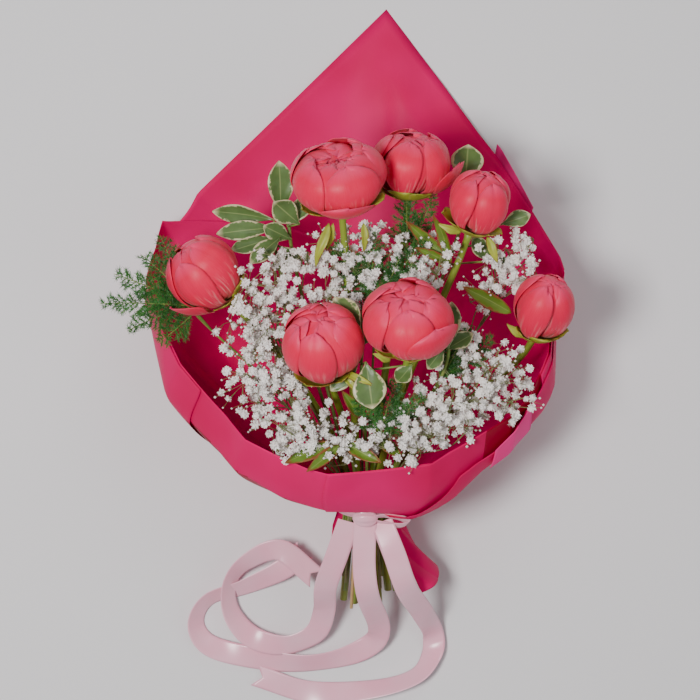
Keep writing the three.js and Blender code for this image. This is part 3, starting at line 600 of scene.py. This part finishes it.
def bloom_point(b, theta, across, phi, lift):
    """A point on the bloom: theta down from the tip along the turn phi, then across it."""
    u, v, w = b["frame"]
    middle = u * math.cos(phi) + v * math.sin(phi)
    aside = v * math.cos(phi) - u * math.sin(phi)
    ray = (middle * math.sin(theta) + w * math.cos(theta)) * math.cos(across) + aside * math.sin(across)
    up = clamp(ray.dot(w), -1, 1)
    tip = math.exp(-((math.acos(up) / 0.42) ** 2))
    belly = b["r"] * (1 + 0.06 * up) + lift
    tall = b["h"] * (1 - b["dent"] * tip) + lift
    flat = ray - w * up
    return b["mid"] + flat * belly + w * (tall * up)


def petal(shape, b, phi, top, wide, lift, flare, rng, low=2.95, nu=20, nv=26, twist=1.3, cup=3.4, power=5):
    """One cupped petal over the bloom, from its foot to near the tip or past it."""
    fullest = 0.64
    wave = rng.uniform(0, 6.28)
    lean = rng.uniform(-0.1, 0.1)
    notch = rng.uniform(0.0, 0.05)
    point = rng.uniform(0.0, 0.05)

    def fn(x, y):
        a = x * 2 - 1
        if y < fullest:
            half = mix(0.34, 1.0, smooth(y / fullest))
        else:
            half = max(0.0, 1 - ((y - fullest) / (1.0 - fullest)) ** 2.4) ** 0.5
        end = 1 - notch * math.exp(-((a - lean * 2) / 0.2) ** 2) + point * (1 - abs(a))
        end -= 0.012 * math.sin(9 * a + wave)
        theta = mix(low, top, y * mix(1, end, smooth(y)))
        across = wide * half * a
        out = lift + twist * a + cup * (1 - a * a) * math.sin(math.pi * clamp(y * 0.9)) ** 0.8
        out += flare * y ** power + abs(a) ** 3 * 0.5 * math.sin(7 * y + wave) * y
        out += 0.45 * math.sin(4.2 * a + wave) * y - 0.5 * math.exp(-(a / 0.12) ** 2) * smooth(y * 1.4)
        return bloom_point(b, theta, across, phi + lean * y, out)
    shape.grid(fn, nu, nv)


CRUMPLED_PETALS = 11
for number, b in enumerate(PEONIES, 1):
    b["mid"] = Vector(b["head"])
    b["frame"] = frame_of(Vector(b["face"]))
    b["name"] = f"peony_{number}"
    kind = KINDS[number - 1]
    rng = random.Random(100 + number)
    shape = Shape()
    for count, top, wide, lift, flare, turn in LAYERS[kind]:
        for k in range(count):
            phi = 2 * math.pi * k / count + turn + number * 1.7 + rng.uniform(-0.16, 0.16)
            petal(shape, b, phi, top + rng.uniform(-0.12, 0.12), wide * rng.uniform(0.92, 1.08),
                  lift + rng.uniform(-0.3, 0.3), flare * rng.uniform(0.3, 1.3), rng)
    for k in range(CRUMPLED_PETALS if kind == "open" else 0):
        petal(shape, b, 2.4 * k, rng.uniform(-0.3, 0.4), rng.uniform(0.16, 0.26),
              -9 + rng.uniform(-2.5, 2), rng.uniform(0, 3), rng, 1.3, 8, 12, 2.2, 1.4)

    def core(x, y, b=b, inner=-12 if kind == "open" else -9):
        return bloom_point(b, math.pi * (1 - y), 0, 2 * math.pi * x, inner)
    shape.grid(core, 32, 20)
    bloom = shape.piece(b["name"] + "_petals", [PETAL])
    thicken(bloom, PETAL_T)
    finish_piece(bloom, [b["name"] + "_bloom"])

# loose outer petals: turn, how near the tip, half-width, flare, how near the stem
GUARDS = {
    1: (94, 1.66, 0.6, 5, 2.75),
    2: (158, 1.3, 0.56, 12, 2.5),
    4: (18, 1.5, 0.64, 11, 2.5),
    6: (125, 1.05, 0.66, 5, 2.5),
}
for number, (turn, top, wide, flare, low) in GUARDS.items():
    b = PEONIES[number - 1]
    shape = Shape()
    rng = random.Random(300 + number)
    petal(shape, b, math.radians(turn), top, wide, 1.6, flare, rng, low, cup=1.6, power=1.5)
    guard = shape.piece(b["name"] + "_loose_petal", [PETAL])
    thicken(guard, PETAL_T)
    finish_piece(guard, [b["name"] + "_guard_petal"])


# ---------------------------------------------------------------- blades
def blade(shape, foot, tip, face, width, bend, cup, fullest, wave, nu, nv, twist):
    """A leaf from foot to tip, facing the given way, that bends towards its back along its length."""
    foot, tip = Vector(foot), Vector(tip)
    length = (tip - foot).length
    w = (tip - foot).normalized()
    u = Vector(face).cross(w).normalized()
    n = w.cross(u)
    power = math.log(0.5) / math.log(fullest)

    def fn(x, y):
        a = x * 2 - 1
        half = width * 0.5 * max(0.04, math.sin(math.pi * clamp(y, 0.001, 0.999) ** power) ** 0.8)
        turn = twist * y
        side = u * math.cos(turn) + n * math.sin(turn)
        up = n * math.cos(turn) - u * math.sin(turn)
        lift = cup * half * a * a + bend * length * math.sin(math.pi * y) * 0.5
        lift += wave * math.sin(11 * y + 3 * a) * abs(a)
        return foot + w * (length * y) + side * (half * a) + up * lift
    shape.grid(fn, nu, nv)


# ---------------------------------------------------------------- calyxes and stems
# narrow bracts below a bloom: foot, tip, width
BRACTS = {
    1: [((-34, 262, 118), (-46, 222, 108), 9), ((-2, 262, 120), (-2, 236, 112), 7),
        ((-30, 262, 116), (-38, 236, 104), 6)],
    3: [((88, 254, 112), (66, 262, 116), 8), ((112, 250, 108), (122, 226, 104), 8)],
    5: [((-20, 126, 138), (8, 112, 150), 7), ((-24, 126, 138), (0, 98, 138), 6)],
    6: [((22, 136, 152), (6, 142, 160), 7)],
    7: [((150, 158, 78), (132, 170, 84), 9)],
}
# where each stem passes through the tie, to the side and to the front, and how far below it is cut
SLOTS = {1: (-6, 7), 2: (6, 0), 3: (11, -7), 4: (-12, 0), 5: (-6, -11), 6: (8, 11), 7: (14, 5)}
STEM_FEET = {1: 104, 2: 96, 3: 88, 4: 108, 5: 100, 6: 112, 7: 92}


def stem_line(slot, end, direction, foot, count=26):
    """From the cut end, through the tie, to where the stem meets what it carries."""
    at_tie = SIDE * slot[0] + FRONT * slot[1]
    reach = (end - at_tie).length
    first = at_tie + AXIS * reach * 0.38 + at_tie * 0.9
    second = end - direction * reach * 0.28
    low = at_tie * (1 + foot / 110 * 0.75) + FOOT * foot
    lower = [low.lerp(at_tie, t / 6) for t in range(6)]
    return lower + [bezier(at_tie, first, second, end, t / count) for t in range(count + 1)]


# small sepals round the foot of each bloom: turn, how near the tip, half-width, flare
SEPALS = {
    1: [(150, 2.0, 0.42, 5), (30, 2.1, 0.34, 4), (95, 2.4, 0.4, 2), (230, 2.3, 0.4, 2)],
    2: [(95, 2.05, 0.62, 1), (30, 2.3, 0.4, 2), (160, 2.35, 0.4, 2), (250, 2.3, 0.4, 2)],
    3: [(20, 2.0, 0.5, 6), (100, 2.15, 0.62, 2), (165, 2.1, 0.4, 5), (260, 2.2, 0.4, 2)],
    4: [(150, 2.2, 0.5, 3), (80, 2.4, 0.45, 2), (230, 2.3, 0.5, 2), (300, 2.3, 0.4, 2)],
    5: [(52, 1.95, 0.55, 5), (110, 2.4, 0.4, 2), (170, 2.3, 0.4, 3), (260, 2.2, 0.5, 2)],
    6: [(275, 1.5, 0.5, 3), (95, 2.45, 0.4, 2), (175, 2.2, 0.4, 3), (20, 2.3, 0.4, 2)],
    7: [(115, 2.0, 0.6, 3), (60, 2.2, 0.5, 2), (180, 2.05, 0.5, 4), (270, 2.2, 0.4, 2)],
}
for number, b in enumerate(PEONIES, 1):
    rng = random.Random(500 + number)
    shape = Shape()
    for k, (turn, top, wide, flare) in enumerate(SEPALS[number]):
        petal(shape, b, math.radians(turn), top, wide, 1.0 + 0.3 * k, flare, rng, 3.1, 12, 16, 0.6, 1.0)
    for foot, tip, width in BRACTS.get(number, []):
        blade(shape, foot, tip, (0.2, -0.3, 1), width, rng.uniform(0.15, 0.35), 0.5, 0.4, 0.4,
              4, 12, rng.uniform(-0.8, 0.8))
    calyx = shape.piece(b["name"] + "_sepals", [SEPAL])
    thicken(calyx, SEPAL_T)
    finish_piece(calyx, [b["name"] + "_calyx"])

    end = bloom_point(b, math.pi, 0, 0, 2.0)
    line = stem_line(SLOTS[number], end, b["frame"][2], STEM_FEET[number])
    stem = Shape()
    stem.tube(line, lambda t: mix(3.7, 3.1, t) + 1.4 * smooth((t - 0.96) / 0.04), 12, 0, True, 1)
    rod = stem.piece(b["name"] + "_flower_stem", [STEM, CUT])
    finish_piece(rod, [b["name"] + "_stem"])

# ---------------------------------------------------------------- leaves
# each leaf: foot, tip, the way it faces, width
PEONY_LEAVES = {
    "peony_3_leaves": [
        ((79, 226, 98), (37, 264, 112), (0.1, 0.1, 1), 13),
        ((79, 226, 98), (46, 240, 108), (0.2, -0.3, 1), 9),
        ((79, 226, 98), (62, 270, 116), (-0.4, 0.1, 1), 11),
        ((136, 180, 84), (90, 204, 104), (0.1, -0.4, 1), 15),
    ],
    "peony_foliage_leaves": [
        ((-33, 60, 122), (-74, 42, 132), (0, 0.1, 1), 15),
        ((-24, 58, 122), (-54, 34, 134), (0.1, 0.2, 1), 12),
        ((-20, 60, 118), (14, 42, 126), (0.1, 0.2, 1), 14),
        ((10, 66, 108), (34, 46, 118), (0, 0.3, 1), 12), ((-6, 84, 118), (-22, 108, 132), (0.3, 0, 1), 11),
    ],
}
PITTO_LEAVES = {
    "pittosporum_1": ([(-12, 8), (-72, 262, 58)], [
        ((-80, 274, 66), (-81, 322, 84), (0.3, -0.2, 1), 25),
        ((-62, 264, 66), (-86, 284, 80), (0.2, -0.3, 1), 24),
        ((-74, 262, 62), (-52, 290, 62), (-0.2, 0, 1), 18),
        ((-70, 250, 56), (-96, 262, 70), (0.2, -0.1, 1), 18)]),
    "pittosporum_2": ([(-16, -6), (-86, 250, 56)], [
        ((-86, 268, 60), (-144, 276, 66), (0.1, -0.6, 1), 19),
        ((-84, 261, 60), (-140, 254, 72), (0, 0.2, 1), 19),
        ((-86, 252, 62), (-126, 238, 80), (0.1, 0.3, 1), 18),
        ((-80, 252, 62), (-108, 226, 78), (0.3, 0.3, 1), 18),
        ((-82, 244, 56), (-60, 222, 66), (-0.2, 0.2, 1), 17)]),
    "pittosporum_3": ([(10, -14), (98, 296, 42)], [
        ((95, 304, 50), (97, 339, 62), (0, -0.2, 1), 31), ((119, 229, 66), (99, 250, 84), (0.2, 0, 1), 17),
        ((126, 262, 96), (153, 271, 98), (0, 0.2, 1), 16),
        ((112, 244, 70), (132, 222, 78), (0, 0.2, 1), 14)]),
    "pittosporum_4": ([(2, 16), (-4, 132, 128)], [
        ((-4, 162, 138), (-29, 193, 146), (0.2, 0.1, 1), 24),
        ((0, 134, 148), (6, 92, 156), (0, 0.3, 1), 31),
        ((42, 132, 138), (28, 116, 144), (0, 0.1, 1), 17),
        ((-6, 136, 140), (-32, 108, 136), (0.2, 0.2, 1), 18),
        ((-2, 150, 134), (14, 176, 124), (0, 0, 1), 18)]),
    "pittosporum_5": ([(18, 8), (76, 146, 130)], [
        ((75, 146, 136), (78, 189, 144), (0.1, 0, 1), 20),
        ((74, 146, 130), (98, 160, 132), (0, 0.1, 1), 16),
        ((72, 148, 130), (56, 128, 138), (0, 0.1, 1), 15)]),
}


def leaf_set(shape, leaves, rng, cup, fullest, wave):
    """All the leaves of one sprig."""
    for foot, tip, face, width in leaves:
        blade(shape, foot, tip, face, width, rng.uniform(-0.22, 0.12), cup, fullest, wave,
              8, 18, rng.uniform(-0.35, 0.35))


for name, (route, leaves) in PITTO_LEAVES.items():
    rng = random.Random(name)
    shape = Shape()
    leaf_set(shape, leaves, rng, 0.25, 0.6, 0.9)
    slot, end = route
    line = stem_line(slot, Vector(end), Vector((0, 0.6, 0.8)), 90, 16)
    shape.tube(line, 1.4, 6, 1)
    for foot, *_ in leaves:
        near = min(line[8:], key=lambda p: (p - Vector(foot)).length + 0.6 * abs(p.y - foot[1] + 12))
        shape.tube([near, near.lerp(Vector(foot), 0.5) + Vector((0, 0, 2)), Vector(foot)], 0.8, 5, 1)
    sprig = shape.piece(name + "_sprig", [PITTO, THIN])
    thicken(sprig, LEAF_T)
    finish_piece(sprig, [name])

shape = Shape()
leaf_set(shape, PEONY_LEAVES["peony_3_leaves"], random.Random(31), 0.5, 0.42, 0.5)
leaves = shape.piece("peony_3_leaves", [PEONY_LEAF])
thicken(leaves, LEAF_T)
finish_piece(leaves, ["peony_3_stem"])

shape = Shape()
leaf_set(shape, PEONY_LEAVES["peony_foliage_leaves"], random.Random(32), 0.5, 0.42, 0.5)
line = stem_line((-4, 19), Vector((-14, 62, 104)), Vector((0, 0.3, 0.95)), 84, 16)
shape.tube(line, 1.6, 6, 1)
leaves = shape.piece("peony_foliage_sprig", [PEONY_LEAF, THIN])
thicken(leaves, LEAF_T)
finish_piece(leaves, ["peony_foliage"])


# ---------------------------------------------------------------- fern
NEEDLES_IN_A_TUFT = 7
NEEDLE_LENGTH = 5.5


def frond(shape, foot, tip, face, width, rng):
    """A flat plume: side branches off a thin rib, each set with fine needles."""
    foot, tip = Vector(foot), Vector(tip)
    length = (tip - foot).length
    w = (tip - foot).normalized()
    u = Vector(face).cross(w).normalized()
    n = w.cross(u)
    droop = rng.uniform(-0.12, 0.12)

    def rib(t):
        return foot + w * (length * t) + u * (droop * length * t * t) + n * (0.1 * length * math.sin(2 * t))
    shape.tube([rib(k / 8) for k in range(9)], lambda t: mix(0.8, 0.3, t), 4, 1)
    branches = int(length / 2.6)
    for k in range(branches):
        t = mix(0.05, 0.98, (k + rng.uniform(-0.3, 0.3)) / branches)
        side = 1 if k % 2 else -1
        reach = width * 0.5 * (1 - t) ** 0.6 * min(1, t * 6 + 0.4) * rng.uniform(0.6, 1.2)
        slope = rng.uniform(0.45, 1.0)
        out = (u * side * math.cos(slope) + w * math.sin(slope) + n * rng.uniform(-0.5, 0.6)).normalized()
        start = rib(t)
        end = start + out * reach
        shape.tube([start, start.lerp(end, 0.5), end], 0.22, 3, 1, False)
        sets = max(3, int(reach / 1.3))
        for m in range(sets):
            at = start.lerp(end, (m + 0.6) / sets)
            for _ in range(NEEDLES_IN_A_TUFT):
                ray = (out * 0.5 + Vector([rng.gauss(0, 0.6) for _ in range(3)])).normalized()
                tip_at = at + ray * NEEDLE_LENGTH * rng.uniform(0.6, 1.15)
                across = ray.cross(UP + u * 0.3).normalized() * 0.3
                shape.face(shape.verts([at - across, at + across, tip_at]), [(0, 0), (1, 0), (0.5, 1)])


FRONDS = {
    "fern_left": ([(-18, -4), (-160, 180, 84)], [
        ((-160, 186, 90), (-246, 190, 104), (0.1, 0.2, 1), 50),
        ((-166, 186, 90), (-222, 164, 98), (0, 0.3, 1), 44),
        ((-164, 190, 88), (-190, 252, 96), (0, -0.1, 1), 44),
        ((-162, 190, 88), (-234, 216, 96), (0, 0, 1), 50),
        ((-160, 184, 88), (-204, 238, 92), (0.3, 0, 1), 50),
        ((-160, 180, 86), (-192, 150, 92), (0.3, 0, 1), 40),
        ((-160, 184, 86), (-150, 250, 92), (0.3, 0, 1), 36)]),
    "fern_middle": ([(2, -8), (10, 188, 80)], [
        ((10, 188, 88), (6, 262, 100), (0, -0.3, 1), 50), ((14, 196, 88), (52, 250, 98), (0, -0.3, 1), 46),
        ((8, 192, 88), (-30, 246, 98), (0, -0.3, 1), 44),
        ((12, 186, 92), (30, 232, 112), (0, -0.3, 1), 40)]),
    "fern_top": ([(4, -16), (40, 232, 50)], [
        ((40, 240, 70), (36, 296, 84), (0, -0.2, 1), 42),
        ((42, 240, 70), (66, 290, 78), (0, -0.2, 1), 40)]),
    "fern_right": ([(16, 0), (66, 112, 88)], [
        ((70, 116, 96), (92, 168, 110), (0, -0.2, 1), 46),
        ((72, 120, 94), (118, 158, 96), (0, -0.1, 1), 42),
        ((70, 124, 96), (74, 178, 106), (0, -0.2, 1), 38)]),
    "fern_front": ([(4, 14), (14, 66, 112)], [
        ((14, 66, 120), (22, 124, 134), (0, -0.3, 1), 46),
        ((16, 68, 118), (50, 108, 126), (0, -0.2, 1), 40),
        ((12, 70, 118), (-12, 112, 126), (0, -0.2, 1), 36)]),
}
for name, (route, fronds) in FRONDS.items():
    rng = random.Random(name)
    shape = Shape()
    slot, end = route
    line = stem_line(slot, Vector(end), Vector(end).normalized(), 70, 16)
    shape.tube(line, 1.1, 6, 1)
    for foot, tip, face, width in fronds:
        shape.tube([line[-3], line[-1].lerp(Vector(foot), 0.5), Vector(foot)], 0.8, 5, 1)
        frond(shape, foot, tip, face, width, rng)
    fern = shape.piece(name + "_fronds", [NEEDLE, THIN])
    finish_piece(fern, [name])

# ---------------------------------------------------------------- gypsophila
# where each spray starts and ends, then its clouds of florets: middle, spread, count
CLOUDS = {
    "gypsophila_1": ([(-14, 4), (-84, 150, 72)],
                     [((-98, 184, 100), (50, 46, 32), 116), ((-72, 226, 92), (34, 22, 20), 34)]),
    "gypsophila_2": ([(-12, 12), (-76, 96, 76)], [((-90, 122, 106), (52, 46, 34), 120)]),
    "gypsophila_3": ([(-8, 18), (-44, 46, 84)],
                     [((-58, 70, 116), (52, 32, 30), 92), ((-6, 62, 120), (46, 26, 26), 42)]),
    "gypsophila_4": ([(-2, -12), (-4, 190, 76)],
                     [((-8, 232, 96), (52, 38, 28), 104), ((-26, 192, 90), (34, 30, 24), 54)]),
    "gypsophila_5": ([(8, -10), (52, 176, 74)], [((58, 222, 96), (44, 36, 26), 66)]),
    "gypsophila_6": ([(10, 18), (50, 56, 86)],
                     [((66, 84, 118), (50, 36, 30), 112), ((40, 56, 116), (34, 20, 24), 26)]),
    "gypsophila_7": ([(20, 2), (88, 92, 76)],
                     [((112, 116, 104), (50, 44, 32), 116), ((88, 152, 100), (32, 28, 26), 26)]),
    "gypsophila_8": ([(19, -8), (124, 190, 60)],
                     [((138, 226, 88), (38, 38, 26), 62), ((112, 196, 84), (26, 22, 22), 14)]),
}


FLORET_PETALS = 15


def floret(shape, at, size, rng):
    """A ruffled double floret: short curled petals set round a small ball."""
    pole = Vector((rng.gauss(0, 0.5), rng.gauss(0, 0.5), rng.gauss(0.6, 0.5))).normalized()
    u, v, w = frame_of(pole)
    for k in range(FLORET_PETALS):
        turn = 2.4 * k + rng.uniform(-0.3, 0.3)
        rise = mix(1.25, -0.35, (k / (FLORET_PETALS - 1)) ** 0.8)
        out = u * math.cos(turn) + v * math.sin(turn)
        ray = out * math.cos(rise) + w * math.sin(rise)
        across = ray.cross(w if abs(ray.dot(w)) < 0.9 else u).normalized()
        reach = size * rng.uniform(0.8, 1.0)
        wide = size * rng.uniform(0.42, 0.58)
        mid = at + ray * reach * 0.6
        tip = at + ray * reach + w * rng.uniform(-0.1, 0.3) * size
        foot, left, tip_left, tip_right, right, fold = shape.verts([
            at, mid + across * wide, tip + across * wide * 0.8, tip - across * wide * 0.8,
            mid - across * wide, mid + w * size * 0.12])
        shape.face([foot, left, tip_left, fold], [(0, 0), (0, 0.5), (0, 1), (0.5, 0.5)])
        shape.face([foot, fold, tip_right, right], [(0, 0), (0.5, 0.5), (1, 1), (1, 0.5)])


def bud(shape, at, size):
    """A small closed flower."""
    corners = [(1, 0, 0), (0, 1, 0), (-1, 0, 0), (0, -1, 0), (0, 0, 1.2), (0, 0, -1.2)]
    *waist, top, foot = shape.verts([at + Vector(c) * size for c in corners])
    for a, c in zip(waist, waist[1:] + waist[:1]):
        shape.face([a, c, top], [(0, 0)] * 3)
        shape.face([c, a, foot], [(0, 0)] * 3)


def inside_bloom(p, room):
    """True if the place is in a bloom, or nearer to one than the room it needs."""
    for b in PEONIES:
        d = p - b["mid"]
        height = d.dot(b["frame"][2])
        across = (d - b["frame"][2] * height).length
        if (height / (b["h"] + room)) ** 2 + (across / (b["r"] + room)) ** 2 < 1:
            return True
    return False


def over_bloom(p):
    """True if the place would hide a bloom from above."""
    for b in PEONIES:
        d = p - b["mid"]
        if Vector((d.x, d.y)).length < b["r"] * 0.92 and d.z > -5:
            return True
    return False


for name, (route, clouds) in CLOUDS.items():
    rng = random.Random(name)
    shape = Shape()
    slot, end = route
    line = stem_line(slot, Vector(end), Vector(end).normalized(), 78, 16)
    shape.tube(line, lambda t: mix(1.3, 0.9, t), 6, 1)
    for centre, spread, count in clouds:
        centre = Vector(centre)
        hubs = []
        for _ in range(max(4, count // 8)):
            hub = centre + Vector([rng.uniform(-0.62, 0.62) * s for s in spread])
            hub -= Vector((0, 0, spread[2] * 0.35))
            root = line[-1 - rng.randrange(5)]
            bend = root.lerp(hub, 0.55) + Vector((rng.uniform(-6, 6), rng.uniform(-6, 6), rng.uniform(-4, 6)))
            shape.tube([catmull([root, bend, hub], t / 5) for t in range(6)], 0.55, 4, 1, False)
            hubs.append(hub)
        made, tries = 0, 0
        while made < count and tries < count * 12:
            tries += 1
            d = Vector([rng.gauss(0, 0.46) for _ in range(3)])
            if d.length > 1.05:
                continue
            p = centre + Vector([d[k] * spread[k] for k in range(3)])
            if inside_bloom(p, 6) or over_bloom(p) or p.z < FLOOR + 20:
                continue
            hub = min(hubs, key=lambda h: (h - p).length + (0 if h.z < p.z else 12))
            if (hub - p).length < 7:
                continue
            mid = hub.lerp(p, 0.5) + Vector((rng.uniform(-3, 3), rng.uniform(-3, 3), rng.uniform(-2, 3)))
            shape.tube([catmull([hub, mid, p], t / 4) for t in range(5)], 0.32, 3, 1, False)
            size = rng.uniform(3.6, 5.6)
            floret(shape, p, size, rng)
            bud(shape, p, size * 0.62)
            for _ in range(rng.choice([0, 1, 1, 2])):
                q = p + Vector((rng.uniform(-9, 9), rng.uniform(-9, 9), rng.uniform(-3, 9)))
                if over_bloom(q) or inside_bloom(q, 3):
                    continue
                shape.tube([mid, mid.lerp(q, 0.6), q], 0.25, 3, 1, False)
                bud(shape, q, rng.uniform(1.0, 1.7))
            made += 1
    spray = shape.piece(name + "_spray", [WHITE, TWIG])
    finish_piece(spray, [name])

# ---------------------------------------------------------------- stick
shape = Shape()
at_tie = SIDE * -8 + FRONT * 20
shape.tube([at_tie * 1.66 + FOOT * 96, at_tie, at_tie * 1.06 + AXIS * 18], 1.5, 12)
stick = shape.piece("wooden_stick_rod", [WOOD])
finish_piece(stick, ["wooden_stick"])

# ---------------------------------------------------------------- ribbon
RIBBON_W = 22.0
BAND_R = 35.6
BAND_W = 9.5
BAND_AT = 7.6


def ribbon_strip(shape, line, width, nu, nv):
    """A band of the given width along a line of (place, across) pairs."""
    def fn(x, y):
        p, across = line(y)
        return p + across * (width(y) * (x - 0.5))
    shape.grid(fn, nu, nv)


shape = Shape()
for k in range(2):
    def turn(y, k=k):
        a = 360 * y
        wobble = 0.8 * math.sin(math.radians(2 * a) + k)
        p = round_stems(a) * (BAND_R - 0.6 + 0.7 * k) + AXIS * (BAND_AT + 1.2 * k + wobble)
        return p, AXIS
    ribbon_strip(shape, turn, lambda y: BAND_W, 4, 96)
turns = shape.piece("ribbon_turns_band", [RIBBON])
thicken(turns, RIBBON_T)
finish_piece(turns, ["ribbon_turns"])

KNOT = FRONT * (BAND_R + 7.5) + AXIS * 8


def knot_place(x, y, z):
    """A place across, up and out from the middle of the knot."""
    return KNOT + SIDE * x + AXIS * y + FRONT * z


shape = Shape()


def knot_fn(x, y):
    a, t = 2 * math.pi * x, math.pi * y
    crease = 1 + 0.09 * math.sin(5 * a + 2) * math.sin(t) + 0.05 * math.sin(9 * a)
    wide, deep = 8.5 * math.sin(t) * math.cos(a), 6.5 * math.sin(t) * math.sin(a)
    return knot_place(12 * math.cos(t), wide * crease, deep * crease)


shape.grid(knot_fn, 40, 20, 0, True)
LOOP = [(6, 1, 0), (20, 6, 5), (35, 5, 8), (41, -2, 5), (32, -8, 1), (16, -6, 0), (5, -2, 0)]
loop_route = [knot_place(*p) for p in LOOP]


def bow_loop(y):
    across = (AXIS * 0.75 + FRONT * 0.55 + SIDE * 0.25 * math.sin(3 * y)).normalized()
    return catmull(loop_route, y), across


ribbon_strip(shape, bow_loop, lambda y: mix(7, 15, math.sin(math.pi * y)), 6, 60)
knot = shape.piece("ribbon_knot_and_bow", [RIBBON])
thicken(knot, RIBBON_T)
finish_piece(knot, ["ribbon_knot"])

# each tail leaves the knot, drops to the surface and wanders over it
TAILS = {
    "ribbon_tail_right": (22, [(28, -50, 38), (40, -84, 24), (57, -112, -22), (68, -136, -64),
                               (67, -158, -68), (50, -180, -69), (6, -193, -69), (-54, -196, -69),
                               (-106, -180, -69)]),
    "ribbon_tail_middle": (0, [(-1, -60, 30), (3, -92, 16), (14, -126, -38), (8, -146, -62), (-22, -161, -67),
                               (-66, -167, -67), (-118, -160, -67), (-156, -148, -67), (-168, -126, -67),
                               (-155, -103, -67), (-120, -91, -66), (-84, -74, -58), (-62, -55, -50)]),
    "ribbon_tail_left": (-22, [(-28, -54, 26), (-38, -84, 4), (-40, -112, -36), (-50, -136, -54),
                               (-80, -148, -59), (-112, -140, -61), (-132, -116, -61), (-134, -88, -58),
                               (-118, -66, -50),
                               (-84, -52, -40), (-50, -78, -44)]),
}


def tilt_at(y, phase):
    """How far the strip turns onto its edge along its length."""
    return 0.9 * math.sin(7.5 * y + phase) * smooth((y - 0.3) * 6) * smooth((1 - y) * 9)


TAIL_STEPS = 160
SWALLOWTAIL = 0.03
for name, (start, points) in TAILS.items():
    first = KNOT + SIDE * (start * 0.7) - AXIS * 5 - FRONT * 1.5
    route = [first] + [Vector(p) for p in points]
    line = [catmull(route, k / TAIL_STEPS) for k in range(TAIL_STEPS + 1)]
    phase = random.Random(name).uniform(0, 6)
    for k, p in enumerate(line):
        p.z = max(p.z, FLOOR + 1.2 + 10.5 * abs(math.sin(tilt_at(k / TAIL_STEPS, phase))))

    def strip(y, line=line, phase=phase):
        k = min(int(y * TAIL_STEPS), TAIL_STEPS - 1)
        p = line[k].lerp(line[k + 1], y * TAIL_STEPS - k)
        heading = (line[min(k + 2, TAIL_STEPS)] - line[max(k - 2, 0)]).normalized()
        face = FRONT.lerp(UP, smooth(y * 4))
        across = face.cross(heading).normalized()
        tilt = tilt_at(y, phase)
        up = heading.cross(across)
        return p, across * math.cos(tilt) + up * math.sin(tilt)
    shape = Shape()

    def cut(x, y):
        p, across = strip(y)
        notch = clamp((y - 1 + SWALLOWTAIL) / SWALLOWTAIL)
        heading = (line[-1] - line[-4]).normalized()
        q = p + across * (RIBBON_W * (x - 0.5))
        q += heading * (notch * (abs(x - 0.5) * 2 - 0.5) * 9)
        q.z = max(q.z, FLOOR + 0.4)
        return q
    shape.grid(cut, 10, 200)
    tail = shape.piece(name + "_satin", [RIBBON])
    thicken(tail, RIBBON_T)
    finish_piece(tail, [name])

# ---------------------------------------------------------------- room
floor_mesh = bpy.data.meshes.new("floor")
floor_mesh.from_pydata([(-4, -4, 0), (4, -4, 0), (4, 4, 0), (-4, 4, 0)], [], [(0, 1, 2, 3)])
floor = bpy.data.objects.new("floor", floor_mesh)
bpy.context.scene.collection.objects.link(floor)
paper = Look("pale_floor", roughness=0.75, specular=0.2)
paper.colour(srgb("#E4E3E6"))
floor_mesh.materials.append(paper.mat)


MIDDLE = (0, 0, 0.1)


def area_light(name, place, size, watts, colour=(1, 1, 1)):
    """A square soft light at a place in metres, turned to the bunch."""
    data = bpy.data.lights.new(name, "AREA")
    data.size = size
    data.energy = watts
    data.color = colour
    obj = bpy.data.objects.new(name, data)
    obj.location = place
    obj.rotation_euler = (Vector(MIDDLE) - Vector(place)).to_track_quat("-Z", "Y").to_euler()
    bpy.context.scene.collection.objects.link(obj)


area_light("key", (-0.6, -0.1, 2.0), 0.45, 40, (1, 0.98, 0.96))
area_light("fill", (1.2, -0.6, 1.5), 1.2, 5)
area_light("back", (0.5, 1.3, 1.3), 1.0, 7)

world = bpy.data.worlds.new("studio")
world.use_nodes = True
world.node_tree.nodes["Background"].inputs["Color"].default_value = (1, 1, 1, 1)
world.node_tree.nodes["Background"].inputs["Strength"].default_value = 0.2
bpy.context.scene.world = world

# the camera looks straight down and takes in a square of the floor, in metres
CAMERA_HEIGHT = 2.4
SQUARE_SEEN = 0.7
SENSOR = 36
camera_data = bpy.data.cameras.new("camera")
camera_data.sensor_width = SENSOR
camera_data.lens = SENSOR * CAMERA_HEIGHT / SQUARE_SEEN
camera = bpy.data.objects.new("camera", camera_data)
camera.location = (0.00875, -0.0424, CAMERA_HEIGHT)
camera.rotation_euler = (0, 0, 0)
bpy.context.scene.collection.objects.link(camera)
bpy.context.scene.camera = camera
